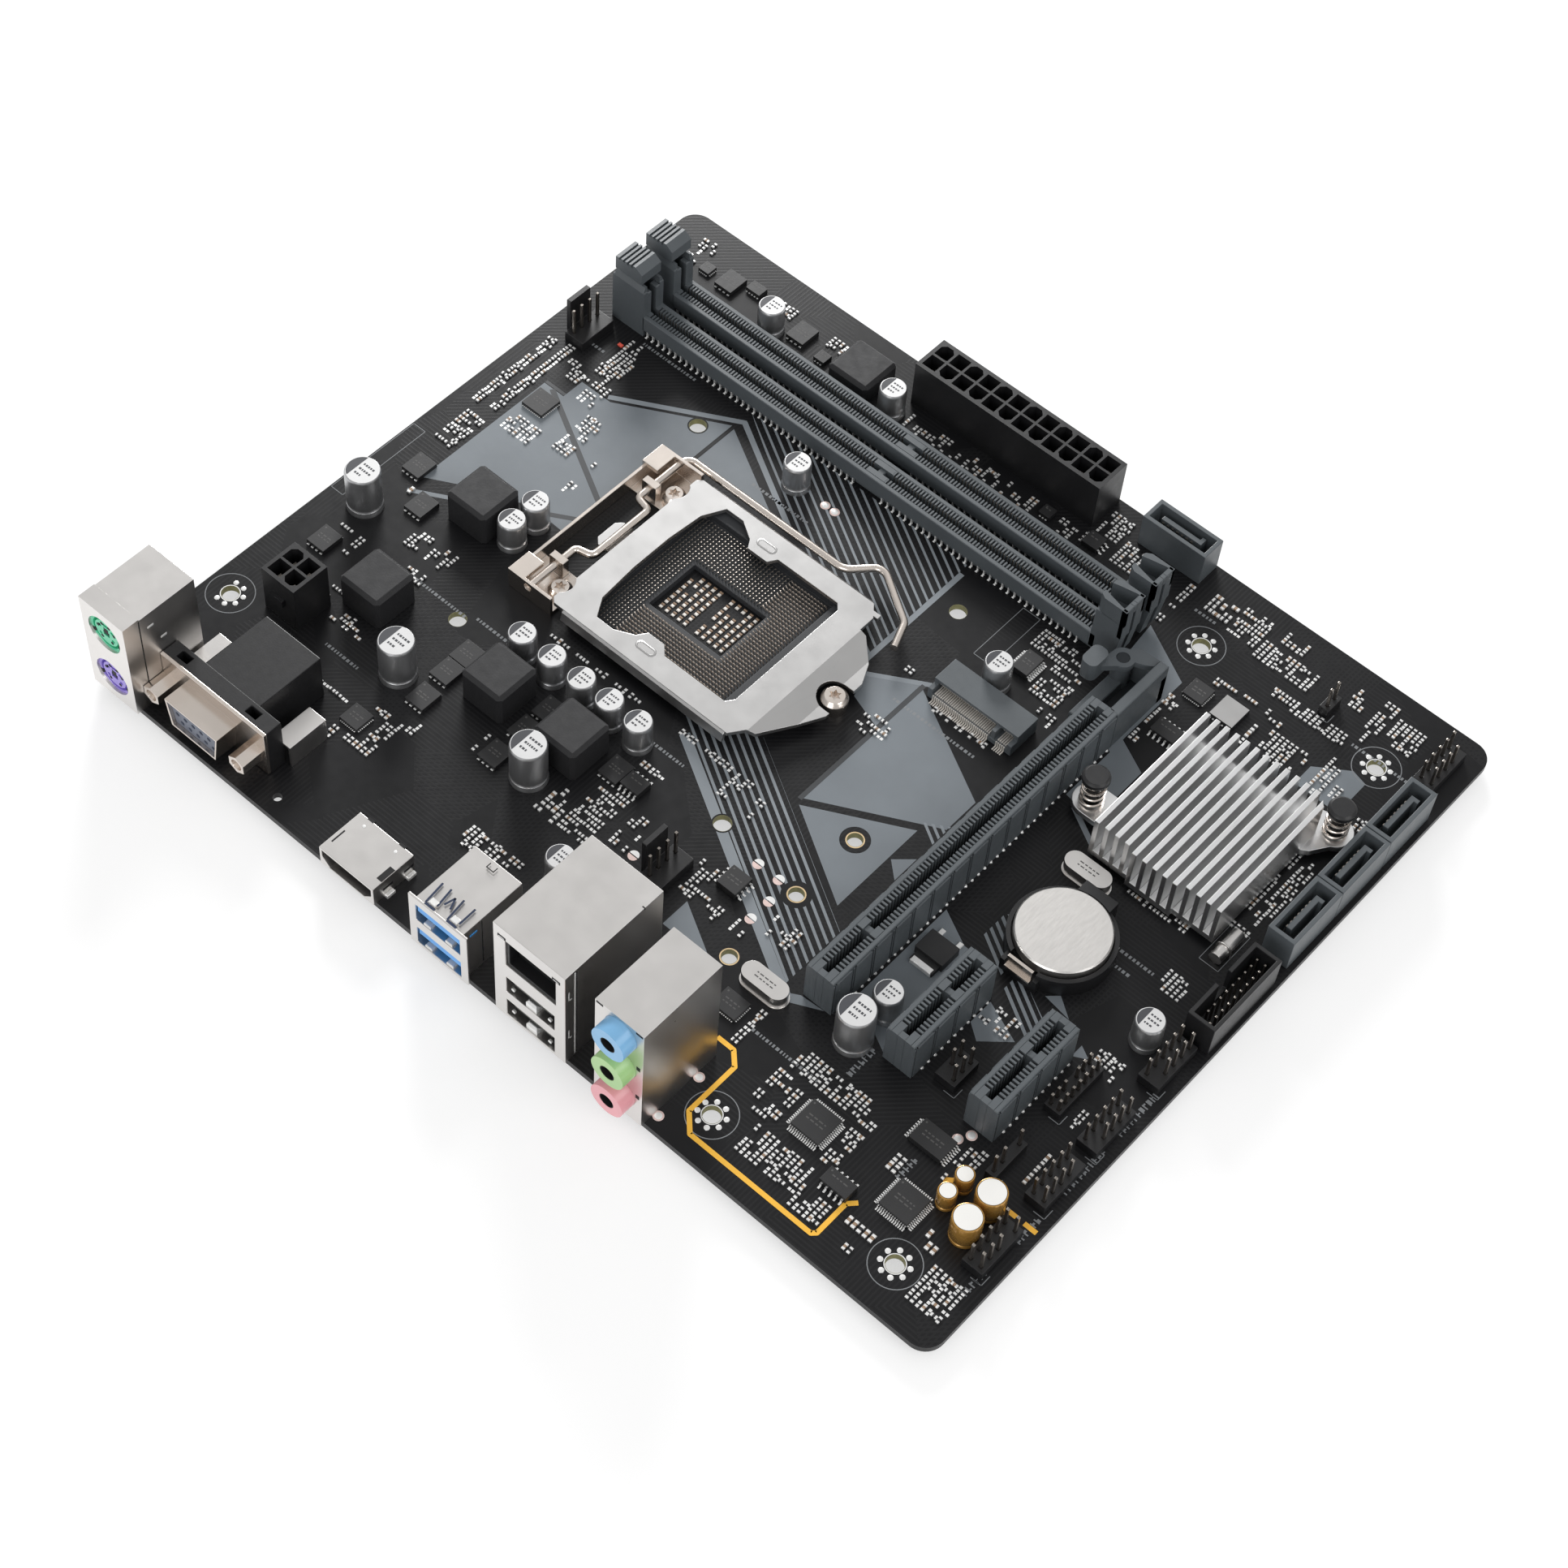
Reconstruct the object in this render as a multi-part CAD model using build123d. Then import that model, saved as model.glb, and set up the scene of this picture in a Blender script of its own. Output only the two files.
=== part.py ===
from build123d import *
import os
from math import cos, radians, sin

# Micro-ATX motherboard as an assembly of its separate pieces.
# Millimetres. Origin: axis of the mounting hole beside the keyboard/mouse port, on the
# underside of the board. +X runs along the rear connector edge, +Y from that edge to
# the front edge, +Z up through the component side.

# ---------------------------------------------------------------- driving dimensions
TOP = 1.6                        # board thickness, so also the height of its top face
BOARD_X = (-6.35, 219.71)
BOARD_Y = (-33.02, 152.0)
BOARD_CORNER_R = 4.5
STANDOFF_R = 1.98
STANDOFF_RECT = (157.48, 203.2, -22.86, 132.08)     # the other four standoff holes
COOLER_CENTRE = (76.68, 65.59)                      # middle of the processor socket
COOLER_PITCH = 75.0
COOLER_R = 2.0
CARD_HOLES = [(136.33, 43.54), (136.33, 25.54), (136.33, 5.54)]   # storage card screws
CARD_HOLE_R = 1.7
TOOLING_HOLES = [(26.0, -29.0), (45.0, -29.0)]
TOOLING_R = 1.0
RUNNING_GAP = 0.08               # radial clearance of a pin turning in its hole

# Processor socket and its loading mechanism
SOCKET_HALF = 21.3
SOCKET_WALL = 2.6
SOCKET_FLOOR_Z = 3.2
SOCKET_WALL_Z = 5.0
SOCKET_WELL = (66.0, 86.4, 58.2, 72.6)
LEVER_X = 46.0                   # common axis of the lever and the load plate
LEVER_Z = 5.6
LEVER_R = 0.9
PLATE_Z = (5.6, 6.6)
FRAME_SCREWS = [(50.1, 83.4), (50.1, 47.8)]
FRAME_SCREW_R = 1.6
SHOULDER_SCREW = (111.5, 65.5)
SCREW_NOTCH_R = 3.9               # in the load plate, round the shoulder screw
FRAME_NOTCH_R = 3.3               # in the load plate, round the hinge frame's screws
BACKPLATE_Z = -2.0

# Memory slots
DIMM_YS = (117.3, 127.2)
DIMM_HALF = 3.2
DIMM_TOP = 7.8
DIMM_X = (12.2, 141.3)
DIMM_KEY_X = 79.9
LATCH_PIVOT = (6.0, 4.6)         # x, z of each latch's trunnions
LATCH_PIN_R = 0.8
TOWER_TOP = 16.6
POST_TOP = 21.0

# Expansion slots
X16_X = 156.05
X1_XS = (176.4, 196.7)
SLOT_HALF = 3.65
SLOT_TOP = 12.85
SLOT_Y0 = 9.1
X16_Y1 = 98.1
X1_Y1 = 34.1
SLOT_KEY_Y = 23.7
CARD_HALF = 0.85
RIB_PITCH = 5.8
RETAINER_PIVOT = (150.9, 111.0)
RETAINER_POST_R = 1.4

# Chipset cooler
SINK_X = (172.9, 204.4)
SINK_Y = (72.8, 109.9)
SINK_BASE_Z = (3.4, 5.0)
SINK_TOP = 14.6
FINS = 13
FIN_THICK = 1.1
PUSH_PINS = [(207.0, 110.7), (166.0, 82.5)]
EAR_R = 4.0
PIN_STEM_R = 1.4
PIN_HEAD_Z = (12.2, 13.6)

# Coin cell
CELL_CENTRE = (182.4, 52.3)
CELL_R = 10.0
CELL_Z = (4.9, 8.1)

# Power, drive and pin connectors
POWER_PITCH = 4.2
POWER_TOP = 14.4
POWER_CAVITY_Z = 4.2
ATX = (94.45, 146.3, 12)                            # centre x, y and number of columns
EATX = (12.6, 7.6, 2)
SATA_HEIGHT = 9.0
SATA_PITCH = 1.27
USB3_HEADER = (212.3, 218.9, 52.7, 74.7)
HEADER_PITCH = 2.54
HEADER_TIP = 9.6
HEADER_BASE_TOP = 4.1
PIN_HALF = 0.32
FAN_HEADERS = [(2.0, 102.5), (113.0, 7.6)]          # first pin; the locking plate is on -x

# Rear connectors
PS2_X = (-3.4, 9.6)
PS2_AXES = {"green": (3.1, 22.4), "purple": (3.1, 8.4)}
PS2_PORT_R = 4.6
VGA_X = 24.3
VGA_Z = 7.7
VGA_FLANGE = (9.7, 39.9)
JACKSCREW_PITCH = 25.0
USB3_BAYS = ((2.6, 8.0), (10.6, 16.0))
LAN_X = (111.0, 129.5)
RJ45_MOUTH = (114.7, 126.5, 20.9, 28.3)
USB2_BAYS = ((2.6, 8.0), (10.7, 16.1))
AUDIO_JACKS = {"blue": 29.9, "green": 19.6, "pink": 9.1}
AUDIO_X = 143.6
JACK_BORE_R = 1.8

# Power parts, as centres on the board
CHOKES = [(23.5, 51.8), (23.7, 20.2), (59.2, 20.2), (79.7, 20.2)]
FLAT_INDUCTOR = (56.0, 139.1)
CAPS_TALL = [(2.9, 36.5), (40.4, 9.5), (78.0, 9.4), (166.3, 8.0)]
CAPS_SHORT = [(33.0, 58.0), (32.9, 50.9), (55.6, 30.7), (64.1, 30.7), (72.4, 30.7), (80.3, 30.7),
              (88.3, 30.7), (66.1, 105.3), (132.0, 93.7), (167.0, 17.0), (99.6, -3.9),
              (67.1, 136.2), (31.5, 135.9), (207.9, 46.9)]
CAPS_AUDIO = [(202.1, -1.9, 2.0, 5.0), (201.9, -6.8, 2.0, 5.0),
              (208.7, -2.3, 3.15, 7.0), (208.7, -9.4, 3.15, 7.0)]
CRYSTALS = [(176.2, 68.6), (146.3, 4.7)]
TRANSISTORS = [(4.0, 51.8), (4.0, 23.5), (12.2, 44.3), (47.7, 16.5), (48.7, 8.5), (69.5, 8.5),
               (47.5, 22.5), (69.8, 24.0), (69.6, 17.0), (90.0, 22.5), (38.0, 139.5),
               (15.7, 140.0)]


# ---------------------------------------------------------------- shape helpers
def block(x0, x1, y0, y1, z0, z1):
    low = (Align.MIN, Align.MIN, Align.MIN)
    return Pos(x0, y0, z0) * Box(x1 - x0, y1 - y0, z1 - z0, align=low)


def rod(x, y, z0, z1, r):
    base = (Align.CENTER, Align.CENTER, Align.MIN)
    return Pos(x, y, z0) * Cylinder(r, z1 - z0, align=base)


def rod_y(x, z, y0, y1, r):
    base = (Align.CENTER, Align.CENTER, Align.MIN)
    return Pos(x, y0, z) * Rot(-90, 0, 0) * Cylinder(r, y1 - y0, align=base)


def prism(points, z0, z1):
    outline = make_face(Polyline(*[(x, y, z0) for x, y in points], close=True))
    return extrude(outline, amount=z1 - z0, dir=(0, 0, 1))


def prism_y(points, y0, y1):
    """Profile given as (x, z), carried from y0 to y1."""
    outline = make_face(Polyline(*[(x, y0, z) for x, z in points], close=True))
    return extrude(outline, amount=y1 - y0, dir=(0, 1, 0))


def turned(x, y, profile):
    """Solid of revolution about a vertical axis; profile is (radius, z) from the axis out."""
    outline = make_face(Polyline(*[(r, 0, z) for r, z in profile], close=True))
    return Pos(x, y, 0) * revolve(outline, axis=Axis.Z)


def fuse(shapes):
    whole = shapes[0]
    return whole + shapes[1:] if len(shapes) > 1 else whole


def group(shapes):
    return Compound([solid for shape in shapes for solid in shape.solids()])


def save(name, shapes):
    export_step(group(shapes), f"parts/{name}.step")


def spread(first, last, count):
    return [first + (last - first) * i / (count - 1) for i in range(count)]


# ---------------------------------------------------------------- bare board
def standoff_holes():
    x0, x1, y0, y1 = STANDOFF_RECT
    return [(0.0, 0.0), (x0, y0), (x1, y0), (x0, y1), (x1, y1)]


def cooler_holes():
    x, y = COOLER_CENTRE
    half = COOLER_PITCH / 2
    return [(x + i * half, y + j * half) for i in (-1, 1) for j in (-1, 1)]


def pcb():
    board = block(*BOARD_X, *BOARD_Y, 0, TOP)
    board = fillet(board.edges().filter_by(Axis.Z), BOARD_CORNER_R)
    holes = [rod(x, y, -1, TOP + 1, STANDOFF_R) for x, y in standoff_holes()]
    holes += [rod(x, y, -1, TOP + 1, COOLER_R) for x, y in cooler_holes()]
    holes += [rod(x, y, -1, TOP + 1, CARD_HOLE_R) for x, y in CARD_HOLES]
    holes += [rod(x, y, -1, TOP + 1, TOOLING_R) for x, y in TOOLING_HOLES]
    holes += [rod(x, y, -1, TOP + 1, PIN_STEM_R + 0.2) for x, y in PUSH_PINS]
    holes += [rod(x, y, -1, TOP + 1, FRAME_SCREW_R + 0.3) for x, y in FRAME_SCREWS]
    holes.append(rod(*SHOULDER_SCREW, -1, TOP + 1, FRAME_SCREW_R + 0.3))
    return board - holes


# ---------------------------------------------------------------- processor socket
def socket_body():
    x, y = COOLER_CENTRE
    outer = SOCKET_HALF
    inner = SOCKET_HALF - SOCKET_WALL
    body = block(x - outer, x + outer, y - outer, y + outer, TOP, SOCKET_WALL_Z)
    tray = block(x - inner, x + inner, y - inner, y + inner, SOCKET_FLOOR_Z, SOCKET_WALL_Z + 1)
    well = block(*SOCKET_WELL, TOP - 1, SOCKET_WALL_Z + 1)
    finger_cuts = [block(x - 4, x + 4, y + s * outer - 1.4, y + s * outer + 1.4,
                         SOCKET_FLOOR_Z + 0.6, SOCKET_WALL_Z + 1) for s in (-1, 1)]
    return body - [tray, well] - finger_cuts


def socket_contacts():
    """Rows of contact springs standing on the socket's tray, split by the central well."""
    x, y = COOLER_CENTRE
    reach = SOCKET_HALF - SOCKET_WALL - 0.9
    well_x0, well_x1, well_y0, well_y1 = SOCKET_WELL
    rows = []
    for row_x in spread(x - reach, x + reach, 39):
        low, high = y - reach, y + reach
        spans = [(low, high)]
        if well_x0 - 0.4 < row_x < well_x1 + 0.4:
            spans = [(low, well_y0 - 0.4), (well_y1 + 0.4, high)]
        rows += [block(row_x - 0.2, row_x + 0.2, a, b, SOCKET_FLOOR_Z, SOCKET_FLOOR_Z + 0.7)
                 for a, b in spans]
    return rows


def ilm_hinge_frame():
    """Two screwed-down feet joined by a thin rail, with the lever's bearings."""
    feet = [block(40.3, 52.6, y, y + 11.0, TOP, TOP + 0.8) for y in (42.1, 79.1)]
    rail = block(40.3, 41.1, 42.1, 90.1, TOP, LEVER_Z)
    cheeks = [block(40.3, 52.6, y, y + 0.8, TOP, LEVER_Z + 1.6) for y in (42.1, 89.3)]
    hooks = [block(LEVER_X - 2, LEVER_X + 2, y, y + 1.8, TOP, LEVER_Z + 1.6) for y in (50.8, 79.6)]
    plates = [block(40.3, 44.7, y, y + 6.4, LEVER_Z + 0.4, LEVER_Z + 1.6) for y in (42.1, 83.7)]
    walls = [block(40.3, 41.1, y, y + 6.4, TOP, LEVER_Z + 1.6) for y in (42.1, 83.7)]
    body = fuse(feet + [rail] + cheeks + hooks + plates + walls)
    bore = rod_y(LEVER_X, LEVER_Z, 41, 91, LEVER_R + RUNNING_GAP)
    clearance = [rod(x, y, TOP - 1, TOP + 2, FRAME_SCREW_R + 0.1) for x, y in FRAME_SCREWS]
    return body - [bore] - clearance


def load_plate_window():
    """Opening over the processor; wider towards the hinge, with two stepped flanks."""
    return [(59.7, 81.3), (62.4, 86.6), (67.1, 86.6), (71.5, 83.8), (72.8, 81.7), (78.2, 81.7),
            (79.5, 83.8), (96.3, 83.8), (97.6, 82.3), (97.6, 50.1), (96.3, 48.3), (79.5, 48.3),
            (77.5, 50.4), (73.0, 50.4), (71.5, 48.1), (67.1, 46.0), (62.4, 46.0), (59.7, 50.6),
            (58.9, 61.0), (58.9, 72.0)]


def rolled_edge(y, side):
    """Turned-down long edge of the load plate, leaning outwards; side is -1 or 1."""
    z0, z1 = PLATE_Z
    profile = [(-1.0, z1), (-0.1, z1), (0.5, z1 - 0.5), (1.0, z1 - 2.7), (0.1, z1 - 2.7),
               (-0.3, z0 - 0.3), (-1.0, z0)]
    ring = [(56.0, y + side * out, z) for out, z in profile]
    return extrude(make_face(Polyline(*ring, close=True)), amount=45.5, dir=(1, 0, 0))


def ilm_load_plate():
    z0, z1 = PLATE_Z
    outline = [(52.2, 43.6), (53.3, 42.5), (102.0, 42.5), (104.4, 46.0), (104.4, 86.0),
               (102.0, 89.1), (53.3, 89.1), (52.2, 88.0)]
    sheet = prism(outline, z0, z1) - prism(load_plate_window(), z0 - 1, z1 + 1)
    sheet -= [rod(x, y, z0 - 1, z1 + 1, FRAME_NOTCH_R) for x, y in FRAME_SCREWS]
    flanges = [rolled_edge(42.5, -1), rolled_edge(89.1, 1)]
    flap = prism_y([(103.6, z1), (104.6, z1), (110.6, z1 - 1.3), (113.4, z1 - 1.3),
                    (113.4, z1 - 2.3), (110.4, z1 - 2.3), (103.6, z0)], 45.5, 82.0)
    flap_outline = [(103.0, 45.5), (106.2, 46.6), (112.4, 58.6), (113.4, 60.6), (113.4, 72.0),
                    (111.0, 77.0), (106.2, 81.6), (103.0, 82.0)]
    lip = flap & prism(flap_outline, z0 - 4, z1 + 2)
    screw_notch = rod(*SHOULDER_SCREW, z0 - 3, z1 + 1, SCREW_NOTCH_R)
    screw_notch += block(SHOULDER_SCREW[0], 114, 61.6, 69.4, z0 - 3, z1 + 1)
    tongue = prism([(53.2, 61.6), (53.2, 69.8), (48.0, 69.8), (46.6, 68.4), (46.6, 63.0),
                    (48.0, 61.6)], LEVER_Z - 2.0, LEVER_Z - 1.1)
    riser = block(52.2, 53.2, 61.6, 69.8, LEVER_Z - 2.0, z1)
    catch = block(100.5, 105.2, 86.4, 87.6, z0, z1)
    return fuse([sheet, lip - screw_notch, tongue, riser, catch] + flanges)


def ilm_load_lever():
    """One bent wire: axle with a central crank, long arm, kinked handle."""
    points = [(46, 43.2), (46, 56.8), (50, 57.8), (50, 75.2), (46, 76.2), (46, 92.2),
              (91, 92.2), (96.8, 98.6), (109.6, 90.2), (112.2, 83.6)]
    radii = [1.4, 1.4, 1.4, 1.4, 2.6, 4.0, 3.0, 3.0]
    route = FilletPolyline(*[(x, y, LEVER_Z) for x, y in points], radius=radii)
    section = Plane(origin=(46, 43.2, LEVER_Z), z_dir=(0, 1, 0)) * Circle(LEVER_R)
    return sweep(section, path=route)


def star_drive(x, y, z0, z1):
    """Six-lobed recess in a screw head."""
    reach = [1.45 if k % 2 == 0 else 0.8 for k in range(12)]
    return prism([(x + r * cos(radians(30 * k)), y + r * sin(radians(30 * k)))
                  for k, r in enumerate(reach)], z0, z1)


def ilm_frame_screw(x, y):
    head_z = TOP + 0.8
    head = turned(x, y, [(0, head_z), (2.7, head_z), (2.7, head_z + 1.2),
                         (1.9, head_z + 2.1), (0, head_z + 2.1)])
    drive = star_drive(x, y, head_z + 0.9, head_z + 3)
    return head + rod(x, y, BACKPLATE_Z + 0.2, head_z, FRAME_SCREW_R) - drive


def ilm_shoulder_screw():
    x, y = SHOULDER_SCREW
    body = turned(x, y, [(0, BACKPLATE_Z + 0.2), (FRAME_SCREW_R, BACKPLATE_Z + 0.2),
                         (FRAME_SCREW_R, TOP), (2.6, TOP), (2.6, 3.9), (3.0, 4.3),
                         (3.0, 5.2), (2.2, 6.1), (0, 6.1)])
    return body - star_drive(x, y, 4.9, 7)


def ilm_backplate():
    """Steel plate under the board that takes the three socket screws."""
    outline = [(45.5, 43.0), (57.0, 43.0), (62.0, 47.5), (92.0, 47.5), (106.0, 58.0),
               (116.5, 60.5), (116.5, 70.5), (106.0, 73.0), (92.0, 83.5), (62.0, 83.5),
               (57.0, 88.0), (45.5, 88.0)]
    window = block(66.0, 87.0, 55.0, 76.0, BACKPLATE_Z - 1, 1)
    taps = [rod(x, y, BACKPLATE_Z - 1, 1, FRAME_SCREW_R + 0.02)
            for x, y in FRAME_SCREWS + [SHOULDER_SCREW]]
    return prism(outline, BACKPLATE_Z, 0) - [window] - taps


# ---------------------------------------------------------------- memory slots
def dimm_slot(y):
    x0, x1 = DIMM_X
    foot = block(x0, 145.0, y - 2.0, y + 2.0, TOP, 3.8)
    walls = block(x0, 145.0, y - DIMM_HALF, y + DIMM_HALF, 3.8, DIMM_TOP)
    tower = block(2.9, x0 + 0.2, y - DIMM_HALF, y + DIMM_HALF, TOP, TOWER_TOP)
    end_post = prism_y([(140.4, 3.8), (146.6, 3.8), (147.8, 12.0), (147.8, POST_TOP),
                        (145.0, POST_TOP), (141.2, POST_TOP - 1.6), (140.4, 9.0)],
                       y - DIMM_HALF, y + DIMM_HALF)
    body = fuse([foot, walls, tower, end_post])
    channel = block(2.0, 10.4, y - 2.0, y + 2.0, 2.4, TOWER_TOP + 1)
    low_wall = block(2.9, 3.9, y - 2.0, y + 2.0, 2.4, 3.8)
    card_way = block(10.0, 143.2, y - 0.75, y + 0.75, 3.4, POST_TOP + 1)
    top_notch = prism([(142.6, y - 1.6), (142.6, y + 1.6), (146.6, y + 2.3), (146.6, y - 2.3)],
                      16.0, POST_TOP + 1)
    end_slit = block(147.0, 148.5, y - 0.5, y + 0.5, 8.0, POST_TOP - 2.4)
    contact_ways = [block(a, b, y - 1.6, y + 1.6, 3.4, 7.0) for a, b in dimm_contact_spans()]
    pivot = rod_y(*LATCH_PIVOT, y - 4, y + 4, LATCH_PIN_R + RUNNING_GAP)
    key = block(DIMM_KEY_X - 0.8, DIMM_KEY_X + 0.8, y - 1.0, y + 1.0, 3.0, DIMM_TOP)
    return body - [channel, card_way, top_notch, end_slit, pivot] - contact_ways + low_wall + key


def dimm_contact_spans():
    return [(12.9, DIMM_KEY_X - 2.4), (DIMM_KEY_X + 2.4, 139.6)]


def dimm_contact_rows(y):
    """Contact strips along both walls of each half of the card slot."""
    return [block(a, b, y + side * 1.3 - 0.3, y + side * 1.3 + 0.3, 3.4, 6.8)
            for a, b in dimm_contact_spans() for side in (-1, 1)]


def dimm_latch(y):
    """Ejector latch: body between the tower walls, thumb cap above them, foot under the card."""
    px, pz = LATCH_PIVOT
    profile = [(px - 1.4, pz - 1.6), (px + 1.6, pz - 2.0), (px + 4.1, pz - 1.6),
               (px + 4.1, pz - 0.4), (px + 2.4, pz + 0.8), (px + 2.4, pz + 12.8),
               (px - 1.9, pz + 12.8), (px - 1.9, pz - 1.0)]
    body = prism_y(profile, y - 1.75, y + 1.75)
    cap = prism_y([(3.65, pz + 12.8), (11.5, pz + 12.8), (11.5, pz + 15.6), (9.6, pz + 17.0),
                   (3.65, pz + 16.4)], y - 3.15, y + 3.15)
    grooves = [block(x, x + 0.6, y - 4, y + 4, pz + 16.0, pz + 18) for x in (4.6, 5.8, 7.0, 8.2)]
    trunnions = rod_y(px, pz, y - 2.9, y + 2.9, LATCH_PIN_R)
    return fuse([body, cap, trunnions]) - grooves


# ---------------------------------------------------------------- expansion slots
def slot_shell(x, y1, keys):
    body = block(x - SLOT_HALF, x + SLOT_HALF, SLOT_Y0, y1, TOP, SLOT_TOP)
    card_way = block(x - CARD_HALF, x + CARD_HALF, SLOT_Y0 + 1.4, y1 - 1.4, 4.0, SLOT_TOP + 1)
    bounds = [SLOT_Y0 + 2.4] + [v for k in keys for v in (k - 1.3, k + 1.3)] + [y1 - 2.0]
    ways = [block(x - 2.3, x + 2.3, a, b, 3.4, 11.4) for a, b in zip(bounds[::2], bounds[1::2])]
    bridges = [block(x - 1.2, x + 1.2, k - 0.9, k + 0.9, 3.0, SLOT_TOP) for k in keys]
    rib_ys = spread(SLOT_Y0 + RIB_PITCH, y1 - RIB_PITCH, round((y1 - SLOT_Y0) / RIB_PITCH) - 1)
    ribs = [block(x + side * SLOT_HALF - 0.2, x + side * SLOT_HALF + 0.2, y - 0.6, y + 0.6,
                  TOP + 1.2, SLOT_TOP - 1.6) for side in (-1, 1) for y in rib_ys]
    return body - [card_way] - ways - ribs + bridges


def slot_contacts(x, y1, keys):
    bounds = [SLOT_Y0 + 2.8] + [v for k in keys for v in (k - 1.7, k + 1.7)] + [y1 - 2.4]
    return [block(x + side * 1.65 - 0.35, x + side * 1.65 + 0.35, a, b, 3.4, 11.0)
            for a, b in zip(bounds[::2], bounds[1::2]) for side in (-1, 1)]


def pcie_x16_slot():
    """Long slot whose open-ended frame carries the card retainer's post."""
    body = slot_shell(X16_X, X16_Y1, [SLOT_KEY_Y])
    arm = block(157.4, 159.7, X16_Y1 - 0.5, 115.0, TOP, SLOT_TOP)
    end_wall = block(151.2, 159.7, 113.2, 115.0, TOP, 9.8)
    ledge = block(149.3, 152.6, 96.0, 115.0, TOP, 6.0)
    joiner = block(151.8, 152.8, 94.0, X16_Y1, TOP, 6.0)
    post = rod(*RETAINER_PIVOT, TOP, 12.4, RETAINER_POST_R)
    collar = rod(*RETAINER_PIVOT, TOP, 9.8, 2.1)
    return fuse([body, arm, end_wall, ledge, joiner, collar, post])


def pcie_x16_latch():
    """Side lever that turns about the post; its hook closes over the card's notch."""
    px, py = RETAINER_PIVOT
    z0, z1 = 10.1, 11.7
    hub = rod(px, py, z0, z1, 2.6)
    hook = prism([(px - 0.8, py + 2.2), (px + 1.4, py + 4.4), (157.0, 115.6), (157.0, 113.6),
                  (155.6, 112.6), (px + 2.4, py + 0.6)], z0, z1)
    strap = prism([(px - 2.5, py + 0.6), (px + 0.6, py - 2.5), (149.2, 106.2), (147.9, 104.6),
                   (146.1, 106.4), (147.9, 108.4)], z0, z1)
    tab = block(145.1, 149.0, 103.2, 109.0, z0 - 1.6, z0 + 3.4)
    tab = fillet(tab.edges().filter_by(Axis.Z), 1.6)
    body = fuse([hub, hook, strap, tab])
    return body - rod(px, py, z0 - 1, z1 + 1, RETAINER_POST_R + RUNNING_GAP)


def m2_connector():
    body = block(123.6, 145.9, 81.4, 90.1, TOP, TOP + 4.5)
    mouth = block(124.7, 144.8, 81.0, 86.6, TOP + 1.3, TOP + 3.7)
    lowered_lip = block(123.0, 146.5, 81.0, 83.4, TOP + 3.0, TOP + 5)
    key = block(140.4, 141.4, 81.6, 86.8, TOP + 1.2, TOP + 3.8)
    return body - [mouth] - [lowered_lip] + key


def m2_contacts():
    return [block(a, b, 81.7, 86.6, TOP + 1.3, TOP + 1.6) for a, b in ((125.2, 140.1), (141.7, 144.4))]


# ---------------------------------------------------------------- internal connectors
def power_places(cx, cy, columns):
    """Cavity centres with column i and row j."""
    return [(i, j, cx + (i - (columns - 1) / 2) * POWER_PITCH, cy + (j - 0.5) * POWER_PITCH)
            for i in range(columns) for j in range(2)]


def power_socket(cx, cy, columns, x_span, y_span):
    """Housing whose cavities are square and chamfered in turn, so that a plug fits one way."""
    body = block(cx - x_span / 2, cx + x_span / 2, cy - y_span / 2, cy + y_span / 2, TOP, POWER_TOP)
    half = 1.8
    cavities = []
    for i, j, x, y in power_places(cx, cy, columns):
        cut = 1.0 if (i + j) % 2 else 0.02
        sign = -1 if j == 0 else 1
        outer = y + sign * half
        inner = y - sign * half
        cavities.append(prism([(x - half, inner), (x + half, inner),
                               (x + half, outer - sign * cut), (x + half - cut, outer),
                               (x - half + cut, outer), (x - half, outer - sign * cut)],
                              POWER_CAVITY_Z, POWER_TOP + 1))
    return body - cavities


def power_pins(cx, cy, columns):
    half = 0.55
    return [block(x - half, x + half, y - half, y + half, POWER_CAVITY_Z, 11.5)
            for i, j, x, y in power_places(cx, cy, columns)]


def power_connector_housings():
    main = power_socket(*ATX, 51.7, 9.8)
    main_ledge = block(91.0, 98.0, 151.0, 151.9, 7.5, 9.4)
    aux = power_socket(*EATX, 9.6, 9.6)
    aux_ledge = block(10.8, 14.4, 1.9, 2.9, 7.5, 9.4)
    return [main + main_ledge, aux + aux_ledge]


def sata_sockets():
    """Plug ports as (x0, x1, y0, y1, long axis)."""
    ports = [(130.1, 146.9, 145.0, 151.6, "x")]
    ports += [(212.0, 218.5, y, y + 16.4, "y") for y in (79.3, 95.9, 112.5)]
    return ports


def sata_connector(x0, x1, y0, y1, along):
    body = block(x0, x1, y0, y1, TOP, TOP + SATA_HEIGHT)
    cavity = block(x0 + 1.0, x1 - 1.0, y0 + 1.0, y1 - 1.0, TOP + 2.0, TOP + SATA_HEIGHT + 1)
    if along == "x":
        tongue = block(x0 + 3.0, x1 - 3.2, y0 + 2.9, y0 + 4.1, TOP + 1.9, TOP + 8.0)
        key = block(x1 - 4.2, x1 - 3.2, y0 + 2.9, y0 + 5.0, TOP + 1.9, TOP + 8.0)
    else:
        tongue = block(x0 + 2.5, x0 + 3.7, y0 + 3.0, y1 - 3.2, TOP + 1.9, TOP + 8.0)
        key = block(x0 + 2.5, x0 + 4.6, y1 - 4.2, y1 - 3.2, TOP + 1.9, TOP + 8.0)
    return body - cavity + [tongue, key]


def sata_contacts(x0, x1, y0, y1, along):
    contacts = []
    for k in range(7):
        step = 3.4 + k * SATA_PITCH
        if along == "x":
            contacts.append(block(x0 + step, x0 + step + 0.6, y0 + 2.6, y0 + 2.9, TOP + 2.0, TOP + 7.4))
        else:
            contacts.append(block(x0 + 2.2, x0 + 2.5, y0 + step, y0 + step + 0.6, TOP + 2.0, TOP + 7.4))
    return contacts


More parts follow.
